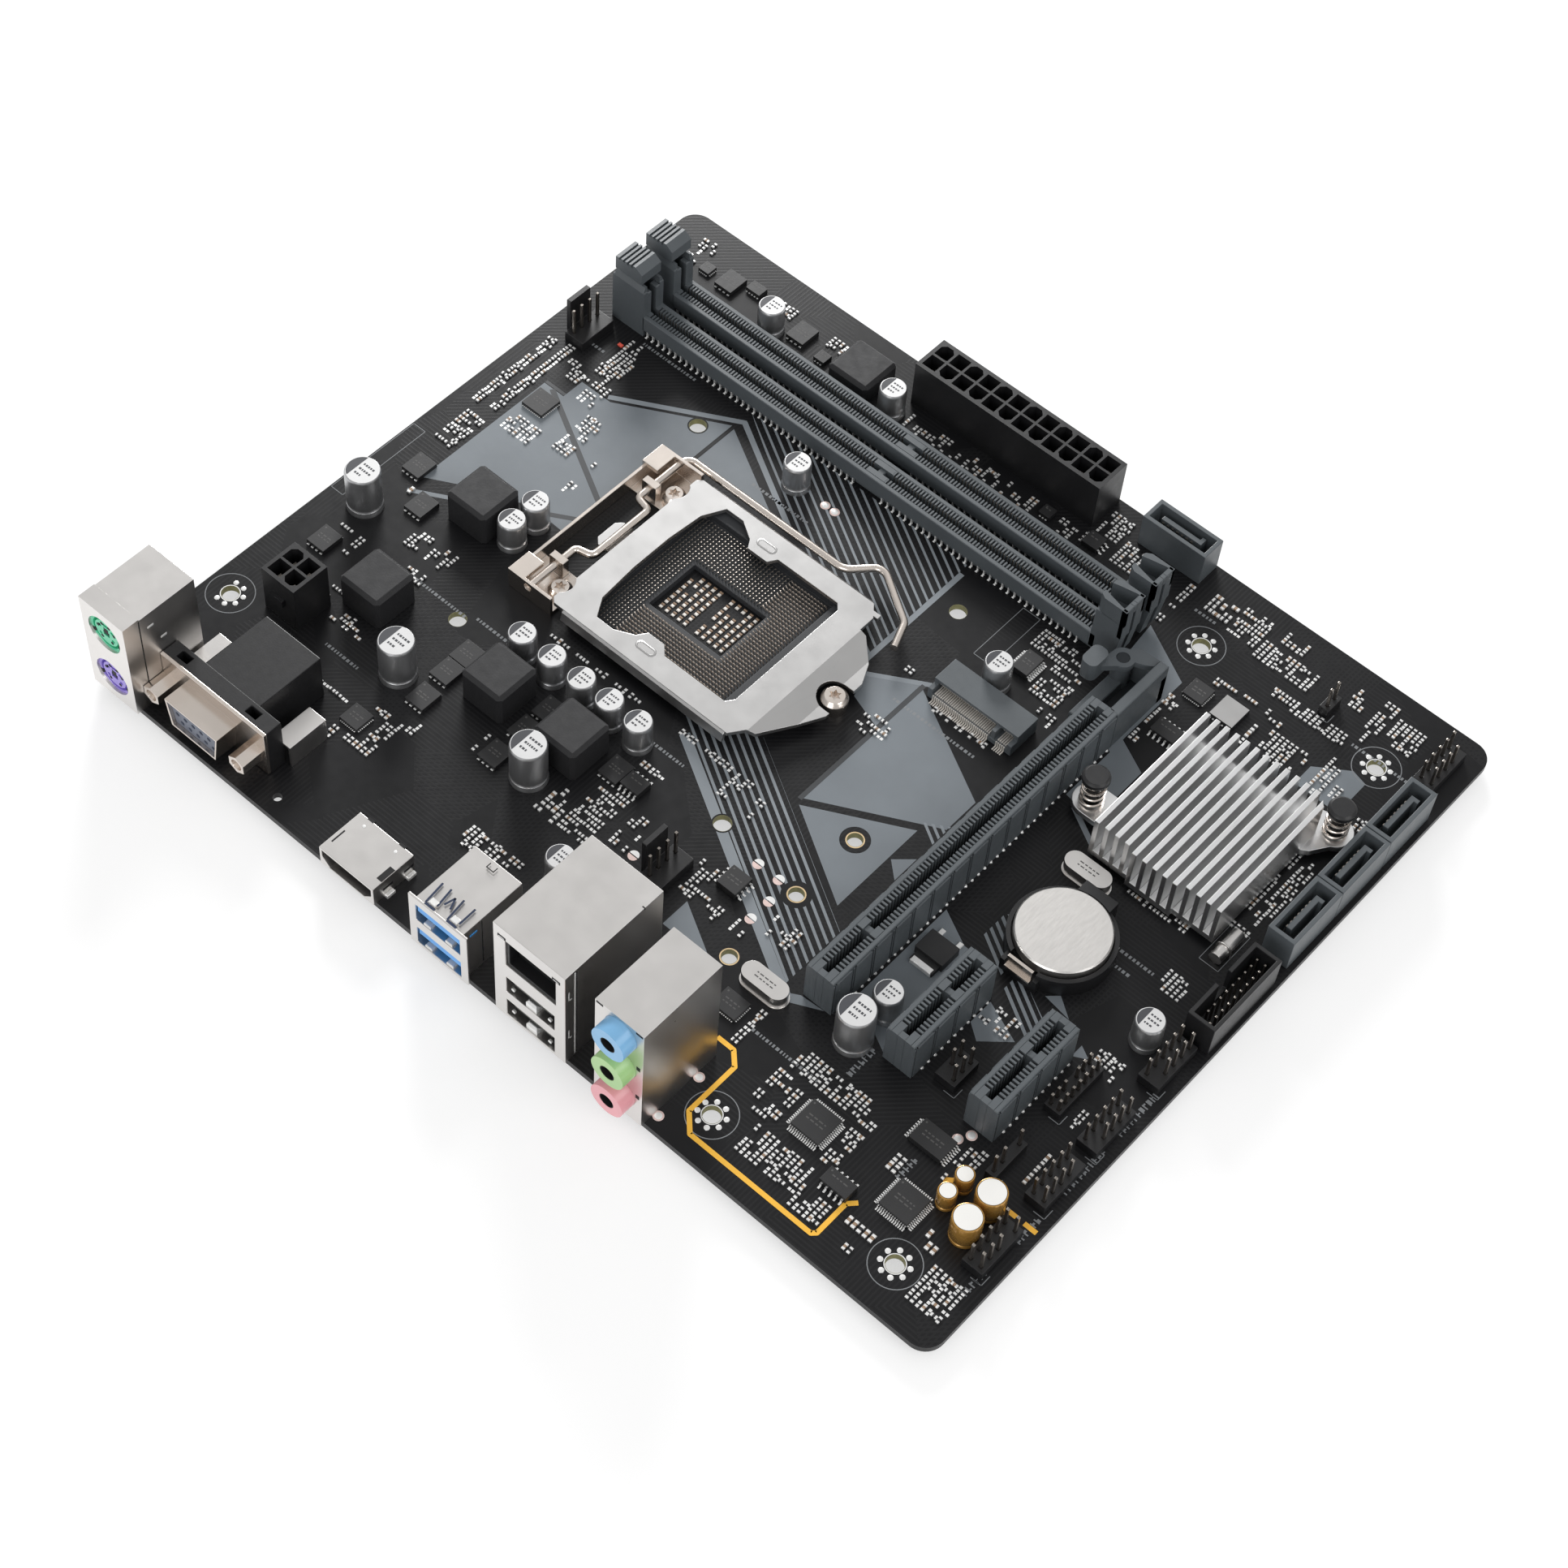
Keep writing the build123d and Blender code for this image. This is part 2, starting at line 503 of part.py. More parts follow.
def usb3_header_shroud():
    x0, x1, y0, y1 = USB3_HEADER
    body = block(x0, x1, y0, y1, TOP, TOP + 9.0)
    cavity = block(x0 + 0.9, x1 - 0.9, y0 + 0.9, y1 - 0.9, TOP + 1.6, TOP + 10)
    keyway = block(x0 - 1, x0 + 1.2, 61.7, 65.7, TOP + 3.0, TOP + 10)
    return body - [cavity, keyway]


def usb3_header_pins():
    x0, x1, y0, y1 = USB3_HEADER
    mid_x = (x0 + x1) / 2
    mid_y = (y0 + y1) / 2
    places = [(mid_x + side, mid_y + (k - 4.5) * 2.0) for side in (-1, 1) for k in range(10)]
    return [block(x - 0.25, x + 0.25, y - 0.25, y + 0.25, TOP + 1.6, TOP + 7.2) for x, y in places[1:]]


def pin_headers():
    """Each header: first pin x, y, columns, rows, pitch, missing pins, body top, tip height."""
    low, tip = HEADER_BASE_TOP, HEADER_TIP
    return [
        (213.3, -13.5, 2, 5, 2.5, [(1, 3)], low, tip),           # front audio
        (213.3, 5.1, 2, 5, 2.525, [(1, 4)], low, tip),           # serial
        (213.3, 20.8, 2, 5, 2.5, [(1, 0)], low, tip),            # USB
        (213.3, 40.0, 2, 5, 2.55, [(1, 0)], low, tip),           # USB
        (211.9, 134.9, 2, 5, 2.54, [(1, 4)], low, tip),          # front panel
        (184.4, 13.4, 2, 3, 2.54, [(0, 0)], low, tip),           # chassis and reset
        (204.9, 3.6, 1, 4, 2.54, [(0, 2)], low, tip),            # digital audio
        (203.6, 22.5, 2, 7, 2.0, [(0, 3)], 3.6, 7.0),            # security module
        (187.0, 136.2, 1, 2, 2.54, [], low, tip),                # clear setup
    ]


def header_places(header):
    x0, y0, columns, rows, pitch, missing = header[:6]
    return [(x0 + i * pitch, y0 + j * pitch) for i in range(columns) for j in range(rows)
            if (i, j) not in missing]


def header_base(header):
    x0, y0, columns, rows, pitch = header[:5]
    base_top = header[6]
    edge = pitch / 2 - 0.05
    body = block(x0 - edge, x0 + (columns - 1) * pitch + edge,
                 y0 - edge, y0 + (rows - 1) * pitch + edge, TOP, base_top)
    return body - [block(x - PIN_HALF, x + PIN_HALF, y - PIN_HALF, y + PIN_HALF, TOP - 1, base_top + 1)
                   for x, y in header_places(header)]


def header_pins(header):
    tip = header[7]
    return [block(x - PIN_HALF, x + PIN_HALF, y - PIN_HALF, y + PIN_HALF, TOP, tip)
            for x, y in header_places(header)]


def fan_places(x, y):
    return [(x, y + k * HEADER_PITCH) for k in range(4)]


def fan_header_base(x, y):
    body = block(x - 1.6, x + 3.9, y - 1.3, y + 3 * HEADER_PITCH + 1.3, TOP, HEADER_BASE_TOP)
    lock = block(x - 2.8, x - 1.6, y + 0.6, y + 3 * HEADER_PITCH - 0.6, TOP, TOP + 10.5)
    return body + lock - [block(px - PIN_HALF, px + PIN_HALF, py - PIN_HALF, py + PIN_HALF,
                                TOP - 1, HEADER_BASE_TOP + 1) for px, py in fan_places(x, y)]


def fan_header_pins(x, y):
    return [block(px - PIN_HALF, px + PIN_HALF, py - PIN_HALF, py + PIN_HALF, TOP, 11.0)
            for px, py in fan_places(x, y)]


# ---------------------------------------------------------------- rear connectors
def ps2_shell():
    tall = block(*PS2_X, -30.2, -15.6, TOP, 28.8)
    bezel = block(*PS2_X, -34.4, -30.2, TOP, 29.2)
    wells = [rod_y(x, z, -35, -24.0, PS2_PORT_R) for x, z in PS2_AXES.values()]
    return tall + bezel - wells


def ps2_port(colour):
    x, z = PS2_AXES[colour]
    disc = rod_y(x, z, -33.8, -24.0, PS2_PORT_R)
    ring = rod_y(x, z, -34.5, -32.6, 3.9) - rod_y(x, z, -34.6, -32.5, 3.3)
    pins = [rod_y(x + 2.2 * cos(radians(a)), z + 2.2 * sin(radians(a)), -35, -28, 0.45)
            for a in (35, 80, 100, 145, 215, 325)]
    slot = block(x - 0.9, x + 0.9, -35, -29, z - 1.0, z + 0.4)
    return disc - [ring, slot] - pins


def jackscrew_xs():
    return [VGA_X - JACKSCREW_PITCH / 2, VGA_X + JACKSCREW_PITCH / 2]


def d_outline(half_width, half_height, slant):
    return [(VGA_X - half_width, VGA_Z + half_height), (VGA_X + half_width, VGA_Z + half_height),
            (VGA_X + half_width - slant, VGA_Z - half_height),
            (VGA_X - half_width + slant, VGA_Z - half_height)]


def vga_housing():
    body = block(17.6, 33.4, -23.5, -4.8, TOP, 14.1)
    flange = block(*VGA_FLANGE, -25.8, -21.9, TOP, 15.0)
    pockets = [block(x, x + 3.0, -24.8, -22.9, 9.0, 16) for x in (12.6, 32.6)]
    return body + flange - pockets


def vga_shell():
    plate = block(*VGA_FLANGE, -26.6, -25.8, 1.9, 15.0)
    shell = prism_y(d_outline(7.65, 3.9, 1.2), -32.3, -26.6)
    inside = prism_y(d_outline(7.15, 3.4, 1.1), -33, -25)
    screw_ways = [rod_y(x, VGA_Z, -28, -25, 1.6) for x in jackscrew_xs()]
    return plate + shell - [inside] - screw_ways


def vga_insert():
    core = prism_y(d_outline(7.1, 3.35, 1.1), -31.4, -25.8)
    holes = []
    for row, offset in ((-1, 0.6), (0, -0.6), (1, 0.6)):
        holes += [rod_y(VGA_X + (k - 2) * 2.29 + offset, VGA_Z + row * 1.98, -32, -27, 0.55)
                  for k in range(5)]
    return core - holes


def vga_jackscrew(x):
    nut = prism_y([(x + 2.4 * sin(radians(60 * k)), VGA_Z + 2.4 * cos(radians(60 * k)))
                   for k in range(6)], -31.9, -26.6)
    return nut - rod_y(x, VGA_Z, -33, -27.6, 1.4)


def vga_board_locks():
    """Bent brackets either side of the housing that clip it to the board."""
    right = block(37.0, 41.8, -21.9, -12.0, 7.4, 8.0) + block(41.2, 41.8, -21.9, -12.0, TOP, 7.5)
    left = block(10.2, 13.8, -21.9, -11.6, 7.4, 8.0) + block(10.2, 10.8, -21.9, -11.6, TOP, 7.5)
    return [right, left]


def hdmi_shell():
    body = block(62.5, 77.5, -33.9, -22.5, TOP, 7.1)
    mouth = prism_y([(63.1, 6.5), (76.9, 6.5), (76.9, 4.2), (74.9, 2.2), (65.1, 2.2), (63.1, 4.2)],
                    -35, -23.4)
    return body - mouth


def hdmi_tongue():
    return block(65.4, 74.6, -32.6, -23.4, 4.2, 5.2)


def usb3_stack_shell():
    body = block(89.7, 102.4, -34.2, -17.3, TOP, 17.6)
    flare = block(88.2, 103.9, -34.2, -33.6, TOP, 18.2)
    bays = [block(90.1, 102.0, -35, -20.0, z0, z1) for z0, z1 in USB3_BAYS]
    return body + flare - bays


def usb3_stack_tongues():
    return [block(91.0, 101.1, -33.0, -20.0, z0 + 2.6, z0 + 4.6) for z0, z1 in USB3_BAYS]


def lan_usb_shell():
    body = block(*LAN_X, -33.9, -7.1, TOP, 32.4)
    jack = block(RJ45_MOUTH[0] - 0.6, RJ45_MOUTH[1] + 0.6, -35, -10.0,
                 RJ45_MOUTH[2] - 0.6, RJ45_MOUTH[3] + 0.6)
    bays = [block(114.1, 126.7, -35, -19.0, z0, z1) for z0, z1 in USB2_BAYS]
    return body - [jack] - bays


def lan_usb_insert():
    """Plastic core of the network jack, and the two USB tongues."""
    x0, x1, z0, z1 = RJ45_MOUTH
    core = block(x0 - 0.6, x1 + 0.6, -33.4, -10.0, z0 - 0.6, z1 + 0.6)
    mouth = block(x0, x1, -35, -20.5, z0, z1)
    clip_way = block(118.6, 122.6, -35, -20.5, z1 - 0.1, z1 + 0.4)
    tongues = [block(115.4, 125.4, -33.0, -19.0, b0 + 2.8, b0 + 4.6) for b0, b1 in USB2_BAYS]
    return [core - [mouth, clip_way]] + tongues


def audio_shell():
    body = block(137.1, 149.3, -33.9, -12.7, TOP, 34.6)
    return body - [rod_y(AUDIO_X, z, -35, -18.0, 4.05) for z in AUDIO_JACKS.values()]


def audio_jack(colour):
    z = AUDIO_JACKS[colour]
    barrel = rod_y(AUDIO_X, z, -37.5, -18.0, 4.0)
    return barrel - rod_y(AUDIO_X, z, -38, -21.5, JACK_BORE_R)


# ---------------------------------------------------------------- chipset and its cooler
def chipset_package():
    substrate = block(177.0, 200.0, 80.0, 102.0, TOP, TOP + 0.9)
    die = block(184.0, 193.0, 87.0, 95.0, TOP + 0.9, SINK_BASE_Z[0])
    return substrate + die


def chipset_heatsink():
    x0, x1 = SINK_X
    y0, y1 = SINK_Y
    z0, z1 = SINK_BASE_Z
    base = block(x0, x1, y0, y1, z0, z1)
    pitch = (x1 - x0 - FIN_THICK) / (FINS - 1)
    fins = [block(x0 + k * pitch, x0 + k * pitch + FIN_THICK,
                  y0 - (1.0 if 4 <= k <= 8 else 0.0), y1, z1 - 0.1, SINK_TOP) for k in range(FINS)]
    middle = block(x0 + 4 * pitch, x0 + 8 * pitch + FIN_THICK, y0 - 1.0, y0 + 1, z0, z1)
    ears = [rod(x, y, z0, z1, EAR_R) for x, y in PUSH_PINS]
    (corner_x, corner_y), (side_x, side_y) = PUSH_PINS
    ears.append(block(side_x, x0 + 2.0, side_y - EAR_R, side_y + EAR_R, z0, z1))
    corner = prism([(203.0, 101.0), (206.0, 103.0), (corner_x + EAR_R, corner_y),
                    (corner_x, corner_y + EAR_R), (201.0, 113.0), (198.0, 109.0)], z0, z1)
    holes = [rod(x, y, z0 - 1, z1 + 1, PIN_STEM_R + 0.25) for x, y in PUSH_PINS]
    pin_room = [rod(x, y, z1, SINK_TOP + 1, EAR_R + 0.2) for x, y in PUSH_PINS]
    return fuse([base, middle, corner] + ears + fins) - holes - pin_room


def push_pin(x, y):
    """Plastic pin: domed head, stem through the ear and the board, barbed tip."""
    z0, z1 = PIN_HEAD_Z
    return turned(x, y, [(0, -1.0), (0.7, -1.0), (1.9, -0.15), (1.3, -0.1), (PIN_STEM_R, 0.2),
                         (PIN_STEM_R, z0), (3.0, z0), (3.0, z1 - 0.5), (2.4, z1), (0, z1)])


def push_pin_spring(x, y):
    outer = rod(x, y, SINK_BASE_Z[1], PIN_HEAD_Z[0], 2.7)
    return outer - rod(x, y, SINK_BASE_Z[1] - 1, PIN_HEAD_Z[0] + 1, 2.1)


# ---------------------------------------------------------------- coin cell and small parts
def battery():
    x, y = CELL_CENTRE
    z0, z1 = CELL_Z
    return turned(x, y, [(0, z0), (8.4, z0), (8.8, z0 + 0.5), (CELL_R, z0 + 0.6),
                         (CELL_R, z1 - 0.3), (CELL_R - 0.3, z1), (0, z1)])


def battery_holder():
    x, y = CELL_CENTRE
    dish = rod(x, y, TOP, 6.3, 11.3)
    tab = block(x - 4.0, x + 4.0, y + 9.0, y + 12.6, TOP, 7.6)
    foot = block(x - 6.0, x + 3.0, y - 12.0, y - 6.0, TOP, 5.2)
    seat = rod(x, y, 4.6, 9, CELL_R + 0.35)
    spring_way = rod(x, y, 3.4, 5, 6.0)
    gap = block(x - 5.0, x + 2.0, y - 13.0, y - 9.0, 4.2, 9)
    return dish + tab + foot - [seat, spring_way, gap]


def battery_contacts():
    x, y = CELL_CENTRE
    negative = block(x - 3.0, x + 3.0, y - 5.0, y + 5.0, 3.4, 4.6)
    positive = block(x - 4.6, x + 1.6, y - 11.9, y - 11.2, 4.2, 7.4) + block(
        x - 4.6, x + 1.6, y - 12.6, y - 11.2, 4.2, 4.7)
    return [negative, positive]


def choke(x, y, half, top):
    body = block(x - half, x + half, y - half, y + half, TOP, top)
    return chamfer(body.edges().group_by(Axis.Z)[-1] + body.edges().filter_by(Axis.Z), 0.8)


def can(x, y, r, height):
    """Capacitor can with a rolled rim at its foot and a rounded shoulder."""
    top = TOP + height
    return turned(x, y, [(0, TOP), (r + 0.15, TOP), (r + 0.15, TOP + 0.6), (r, TOP + 0.9),
                         (r, TOP + 1.5), (r - 0.25, TOP + 1.8), (r, TOP + 2.1), (r, top - 0.5),
                         (r - 0.15, top - 0.15), (r - 0.5, top), (0, top)])


def capacitors():
    tall = [can(x, y, 4.0, 11.5) for x, y in CAPS_TALL]
    short = [can(x, y, 3.15, 8.0) for x, y in CAPS_SHORT]
    return tall + short


def crystals():
    cans = [Pos(x, y, TOP) * extrude(SlotOverall(11.0, 4.6), amount=3.5) for x, y in CRYSTALS]
    return cans + [rod_y(207.0, TOP + 1.5, 70.5, 78.5, 1.5)]


def ic_packages():
    """Chips as (centre x, centre y, size x, size y, height)."""
    chips = [
        (173.3, -11.0, 7.0, 7.0, 1.4), (196.5, -12.4, 7.0, 7.0, 1.4), (192.0, 1.3, 7.8, 5.3, 1.5),
        (125.7, 18.8, 5.0, 5.3, 1.7), (166.0, 108.5, 6.0, 4.0, 1.4), (172.5, 121.7, 6.0, 6.5, 1.0),
        (164.6, 121.5, 5.0, 5.0, 0.9), (10.0, 83.5, 6.0, 6.0, 0.9), (134.0, 102.0, 4.0, 6.0, 1.5),
        (144.0, -2.5, 6.0, 5.0, 0.9), (42.5, -4.5, 5.0, 5.0, 0.9), (95.3, 22.5, 5.0, 4.0, 1.5),
        (9.0, 139.5, 3.0, 3.0, 0.9), (21.5, 142.5, 4.0, 3.0, 1.1), (46.0, 137.3, 3.0, 3.0, 1.0),
        (123.5, 138.0, 4.0, 4.0, 1.4), (111.0, 137.5, 3.0, 3.0, 1.1), (185.0, -18.0, 6.5, 3.6, 1.7),
    ]
    return [block(x - w / 2, x + w / 2, y - d / 2, y + d / 2, TOP, TOP + h) for x, y, w, d, h in chips]


def power_transistors():
    packs = [block(x - 2.5, x + 2.5, y - 2.9, y + 2.9, TOP, TOP + 1.1) for x, y in TRANSISTORS]
    large = block(162.0, 169.0, 31.5, 37.0, TOP, TOP + 2.3)
    tab = block(162.6, 168.4, 29.2, 32.0, TOP, TOP + 1.2)
    return packs + [large + tab]


# ---------------------------------------------------------------- write every piece
def main():
    os.makedirs("parts", exist_ok=True)
    save("pcb", [pcb()])
    save("socket_body", [socket_body()])
    save("socket_contacts", socket_contacts())
    save("ilm_hinge_frame", [ilm_hinge_frame()])
    save("ilm_load_plate", [ilm_load_plate()])
    save("ilm_load_lever", [ilm_load_lever()])
    save("ilm_frame_screws", [ilm_frame_screw(x, y) for x, y in FRAME_SCREWS])
    save("ilm_shoulder_screw", [ilm_shoulder_screw()])
    save("ilm_backplate", [ilm_backplate()])
    save("dimm_slots", [dimm_slot(y) for y in DIMM_YS])
    save("dimm_contacts", [strip for y in DIMM_YS for strip in dimm_contact_rows(y)])
    for letter, y in zip("ab", DIMM_YS):
        save(f"dimm_latch_{letter}", [dimm_latch(y)])
    save("pcie_x16_slot", [pcie_x16_slot()])
    save("pcie_x1_slots", [slot_shell(x, X1_Y1, [SLOT_KEY_Y]) for x in X1_XS])
    save("pcie_contacts", slot_contacts(X16_X, X16_Y1, [SLOT_KEY_Y])
         + [strip for x in X1_XS for strip in slot_contacts(x, X1_Y1, [SLOT_KEY_Y])])
    save("pcie_x16_latch", [pcie_x16_latch()])
    save("m2_connector", [m2_connector()])
    save("m2_contacts", m2_contacts())
    save("power_connector_housings", power_connector_housings())
    save("power_connector_pins", power_pins(*ATX) + power_pins(*EATX))
    save("sata_connectors", [sata_connector(*port) for port in sata_sockets()])
    save("sata_contacts", [pin for port in sata_sockets() for pin in sata_contacts(*port)])
    save("usb3_header_shroud", [usb3_header_shroud()])
    save("pin_header_bases", [header_base(header) for header in pin_headers()])
    save("fan_header_bases", [fan_header_base(x, y) for x, y in FAN_HEADERS])
    save("header_pins", [pin for header in pin_headers() for pin in header_pins(header)]
         + [pin for x, y in FAN_HEADERS for pin in fan_header_pins(x, y)] + usb3_header_pins())
    save("ps2_shell", [ps2_shell()])
    for colour in PS2_AXES:
        save(f"ps2_port_{colour}", [ps2_port(colour)])
    save("vga_housing", [vga_housing()])
    save("vga_shell", [vga_shell()])
    save("vga_insert", [vga_insert()])
    save("vga_jackscrews", [vga_jackscrew(x) for x in jackscrew_xs()])
    save("vga_board_locks", vga_board_locks())
    save("hdmi_shell", [hdmi_shell()])
    save("hdmi_tongue", [hdmi_tongue()])
    save("usb3_stack_shell", [usb3_stack_shell()])
    save("usb3_stack_tongues", usb3_stack_tongues())
    save("lan_usb_shell", [lan_usb_shell()])
    save("lan_usb_insert", lan_usb_insert())
    save("audio_shell", [audio_shell()])
    for colour in AUDIO_JACKS:
        save(f"audio_jack_{colour}", [audio_jack(colour)])
    save("chipset_package", [chipset_package()])
    save("chipset_heatsink", [chipset_heatsink()])
    for number, (x, y) in enumerate(PUSH_PINS, start=1):
        save(f"push_pin_{number}", [push_pin(x, y)])
        save(f"push_pin_spring_{number}", [push_pin_spring(x, y)])
    save("battery", [battery()])
    save("battery_holder", [battery_holder()])
    save("battery_contacts", battery_contacts())
    save("chokes", [choke(x, y, 5.72, TOP + 8.5) for x, y in CHOKES]
         + [choke(*FLAT_INDUCTOR, 5.7, TOP + 5.0)])
    save("capacitors", capacitors())
    save("audio_capacitors", [can(x, y, r, height) for x, y, r, height in CAPS_AUDIO])
    save("crystals", crystals())
    save("ic_packages", ic_packages())
    save("power_transistors", power_transistors())


main()
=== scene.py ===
import bmesh
import bpy
import random
from math import atan2, cos, hypot, pi, radians, sin
from mathutils import Matrix, Vector


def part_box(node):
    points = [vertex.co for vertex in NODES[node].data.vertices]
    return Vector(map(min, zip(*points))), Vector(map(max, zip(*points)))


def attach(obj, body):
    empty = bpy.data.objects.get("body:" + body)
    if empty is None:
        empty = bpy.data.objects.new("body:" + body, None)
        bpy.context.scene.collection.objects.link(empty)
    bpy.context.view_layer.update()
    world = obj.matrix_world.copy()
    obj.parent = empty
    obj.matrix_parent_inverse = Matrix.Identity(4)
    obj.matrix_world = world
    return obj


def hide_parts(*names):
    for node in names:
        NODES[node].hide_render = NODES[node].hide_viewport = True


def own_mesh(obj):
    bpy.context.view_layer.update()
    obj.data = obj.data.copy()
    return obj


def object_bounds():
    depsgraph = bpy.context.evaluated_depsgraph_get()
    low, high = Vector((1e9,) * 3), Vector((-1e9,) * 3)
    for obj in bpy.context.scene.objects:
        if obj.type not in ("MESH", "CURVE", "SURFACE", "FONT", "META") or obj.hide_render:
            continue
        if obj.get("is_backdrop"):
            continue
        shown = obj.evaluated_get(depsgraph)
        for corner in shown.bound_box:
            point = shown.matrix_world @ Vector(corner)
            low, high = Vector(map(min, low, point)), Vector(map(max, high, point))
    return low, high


# Micro-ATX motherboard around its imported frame. Lengths in this script are millimetres in
# the part's own frame and become metres when a mesh is made.
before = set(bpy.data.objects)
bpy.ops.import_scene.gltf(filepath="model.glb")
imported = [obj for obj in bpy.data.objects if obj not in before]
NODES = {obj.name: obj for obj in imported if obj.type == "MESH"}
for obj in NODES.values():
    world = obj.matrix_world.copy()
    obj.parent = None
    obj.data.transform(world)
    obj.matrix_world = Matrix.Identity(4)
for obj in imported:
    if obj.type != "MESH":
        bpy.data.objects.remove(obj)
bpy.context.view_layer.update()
MM = 0.001


def span(node):
    """Lowest and highest corners of a CAD node, in millimetres."""
    low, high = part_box(node)
    return [v / MM for v in low], [v / MM for v in high]


TOP = span("pcb")[1][2]


def solids(node):
    """Boxes in millimetres of the separate solids of a CAD node."""
    mesh = NODES[node].data
    leader = {}

    def find(key):
        while leader[key] != key:
            leader[key] = leader[leader[key]]
            key = leader[key]
        return key

    keys = [tuple(round(c / MM, 2) for c in v.co) for v in mesh.vertices]
    for key in keys:
        leader.setdefault(key, key)
    for face in mesh.polygons:
        first = find(keys[face.vertices[0]])
        for i in face.vertices[1:]:
            leader[find(keys[i])] = first
    groups = {}
    for key in leader:
        groups.setdefault(find(key), []).append(key)
    boxes = []
    for group in groups.values():
        low = [min(p[k] for p in group) for k in range(3)]
        high = [max(p[k] for p in group) for k in range(3)]
        boxes.append((low, high))
    return sorted(boxes)


def centre(box):
    low, high = box
    return (low[0] + high[0]) / 2, (low[1] + high[1]) / 2


# ---------------------------------------------------------------- mesh making
def circle(x, y, z, r, steps, turn=0.0):
    return [(x + r * cos(2 * pi * i / steps + turn), y + r * sin(2 * pi * i / steps + turn), z)
            for i in range(steps)]


class Build:
    """Closed shapes gathered in millimetres; mat is the place in the piece's material list."""

    def __init__(self):
        self.points, self.faces, self.mats = [], [], []

    def loft(self, rings, mat=0, top=None):
        start, n = len(self.points), len(rings[0])
        for ring in rings:
            self.points += ring
        for r in range(len(rings) - 1):
            a = start + r * n
            b = a + n
            self.faces += [(a + i, a + (i + 1) % n, b + (i + 1) % n, b + i) for i in range(n)]
        last = start + (len(rings) - 1) * n
        self.faces += [tuple(range(start + n - 1, start - 1, -1)), tuple(range(last, last + n))]
        self.mats += [mat] * ((len(rings) - 1) * n + 1) + [mat if top is None else top]

    def box(self, x0, x1, y0, y1, z0, z1, mat=0, ease=0.0, top=None):
        def ring(z, e):
            return [(x0 + e, y0 + e, z), (x1 - e, y0 + e, z), (x1 - e, y1 - e, z), (x0 + e, y1 - e, z)]
        rings = [ring(z0, 0), ring(z1 - ease, 0)]
        if ease:
            rings.append(ring(z1, ease))
        self.loft(rings, mat, top)

    def prism(self, outline, z0, z1, mat=0, top=None):
        self.loft([[(x, y, z) for x, y in outline] for z in (z0, z1)], mat, top)

    def prism_y(self, outline, y0, y1, mat=0):
        self.loft([[(x, y, z) for x, z in outline] for y in (y0, y1)], mat)

    def prism_x(self, outline, x0, x1, mat=0):
        self.loft([[(x, y, z) for y, z in outline] for x in (x0, x1)], mat)

    def lathe(self, x, y, profile, mat=0, steps=32, top=None):
        self.loft([circle(x, y, z, r, steps) for r, z in profile], mat, top)

    def hoop(self, rings, mat=0):
        """Closed body through a list of rings whose last joins the first."""
        start, n = len(self.points), len(rings[0])
        for ring in rings:
            self.points += ring
        for r in range(len(rings)):
            a = start + r * n
            b = start + (r + 1) % len(rings) * n
            self.faces += [(a + i, a + (i + 1) % n, b + (i + 1) % n, b + i) for i in range(n)]
        self.mats += [mat] * (len(rings) * n)

    def ring(self, x, y, z0, z1, r_in, r_out, mat=0, steps=40):
        """Flat washer, closed all round."""
        self.hoop([circle(x, y, z, r, steps)
                   for z, r in ((z0, r_in), (z0, r_out), (z1, r_out), (z1, r_in))], mat)

    def tube(self, path, r, mat=0, sides=8):
        """Round bar along a list of points."""
        points = [Vector(p) for p in path]
        rings = []
        side = None
        for i, p in enumerate(points):
            ahead = (points[min(i + 1, len(points) - 1)] - points[max(i - 1, 0)]).normalized()
            if side is None:
                side = ahead.orthogonal().normalized()
            side = (side - ahead * side.dot(ahead)).normalized()
            up = ahead.cross(side)
            rings.append([tuple(p + (side * cos(2 * pi * k / sides) + up * sin(2 * pi * k / sides)) * r)
                          for k in range(sides)])
        self.loft(rings, mat)

    def bar(self, a, b, width, z0, z1, mat=0):
        """Straight strip on the board from point a to point b."""
        (x0, y0), (x1, y1) = a, b
        length = hypot(x1 - x0, y1 - y0)
        nx, ny = -(y1 - y0) / length * width / 2, (x1 - x0) / length * width / 2
        self.prism([(x0 + nx, y0 + ny), (x0 - nx, y0 - ny), (x1 - nx, y1 - ny), (x1 + nx, y1 + ny)],
                   z0, z1, mat)


def make(build, name, materials, body="board", stands_for=(), angle=32):
    """Turns a Build into a piece that rides on a body."""
    mesh = bpy.data.meshes.new(name)
    mesh.from_pydata([(x * MM, y * MM, z * MM) for x, y, z in build.points], [], build.faces)
    mesh.polygons.foreach_set("material_index", build.mats)
    for mat in materials:
        mesh.materials.append(mat)
    work = bmesh.new()
    work.from_mesh(mesh)
    bmesh.ops.recalc_face_normals(work, faces=work.faces)
    work.to_mesh(mesh)
    work.free()
    mesh.shade_smooth()
    mesh.set_sharp_from_angle(angle=radians(angle))
    piece = bpy.data.objects.new(name, mesh)
    bpy.context.scene.collection.objects.link(piece)
    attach(piece, body)
    if stands_for:
        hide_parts(*stands_for)
    return piece


# ---------------------------------------------------------------- materials
def link_noise(nodes, links, coords, scale, detail, stretch=(1.0, 1.0, 1.0)):
    place = nodes.new("ShaderNodeMapping")
    place.inputs["Scale"].default_value = stretch
    noise = nodes.new("ShaderNodeTexNoise")
    noise.inputs["Scale"].default_value = scale
    noise.inputs["Detail"].default_value = detail
    links.new(coords.outputs["Object"], place.inputs["Vector"])
    links.new(place.outputs["Vector"], noise.inputs["Vector"])
    return noise.outputs["Fac"]


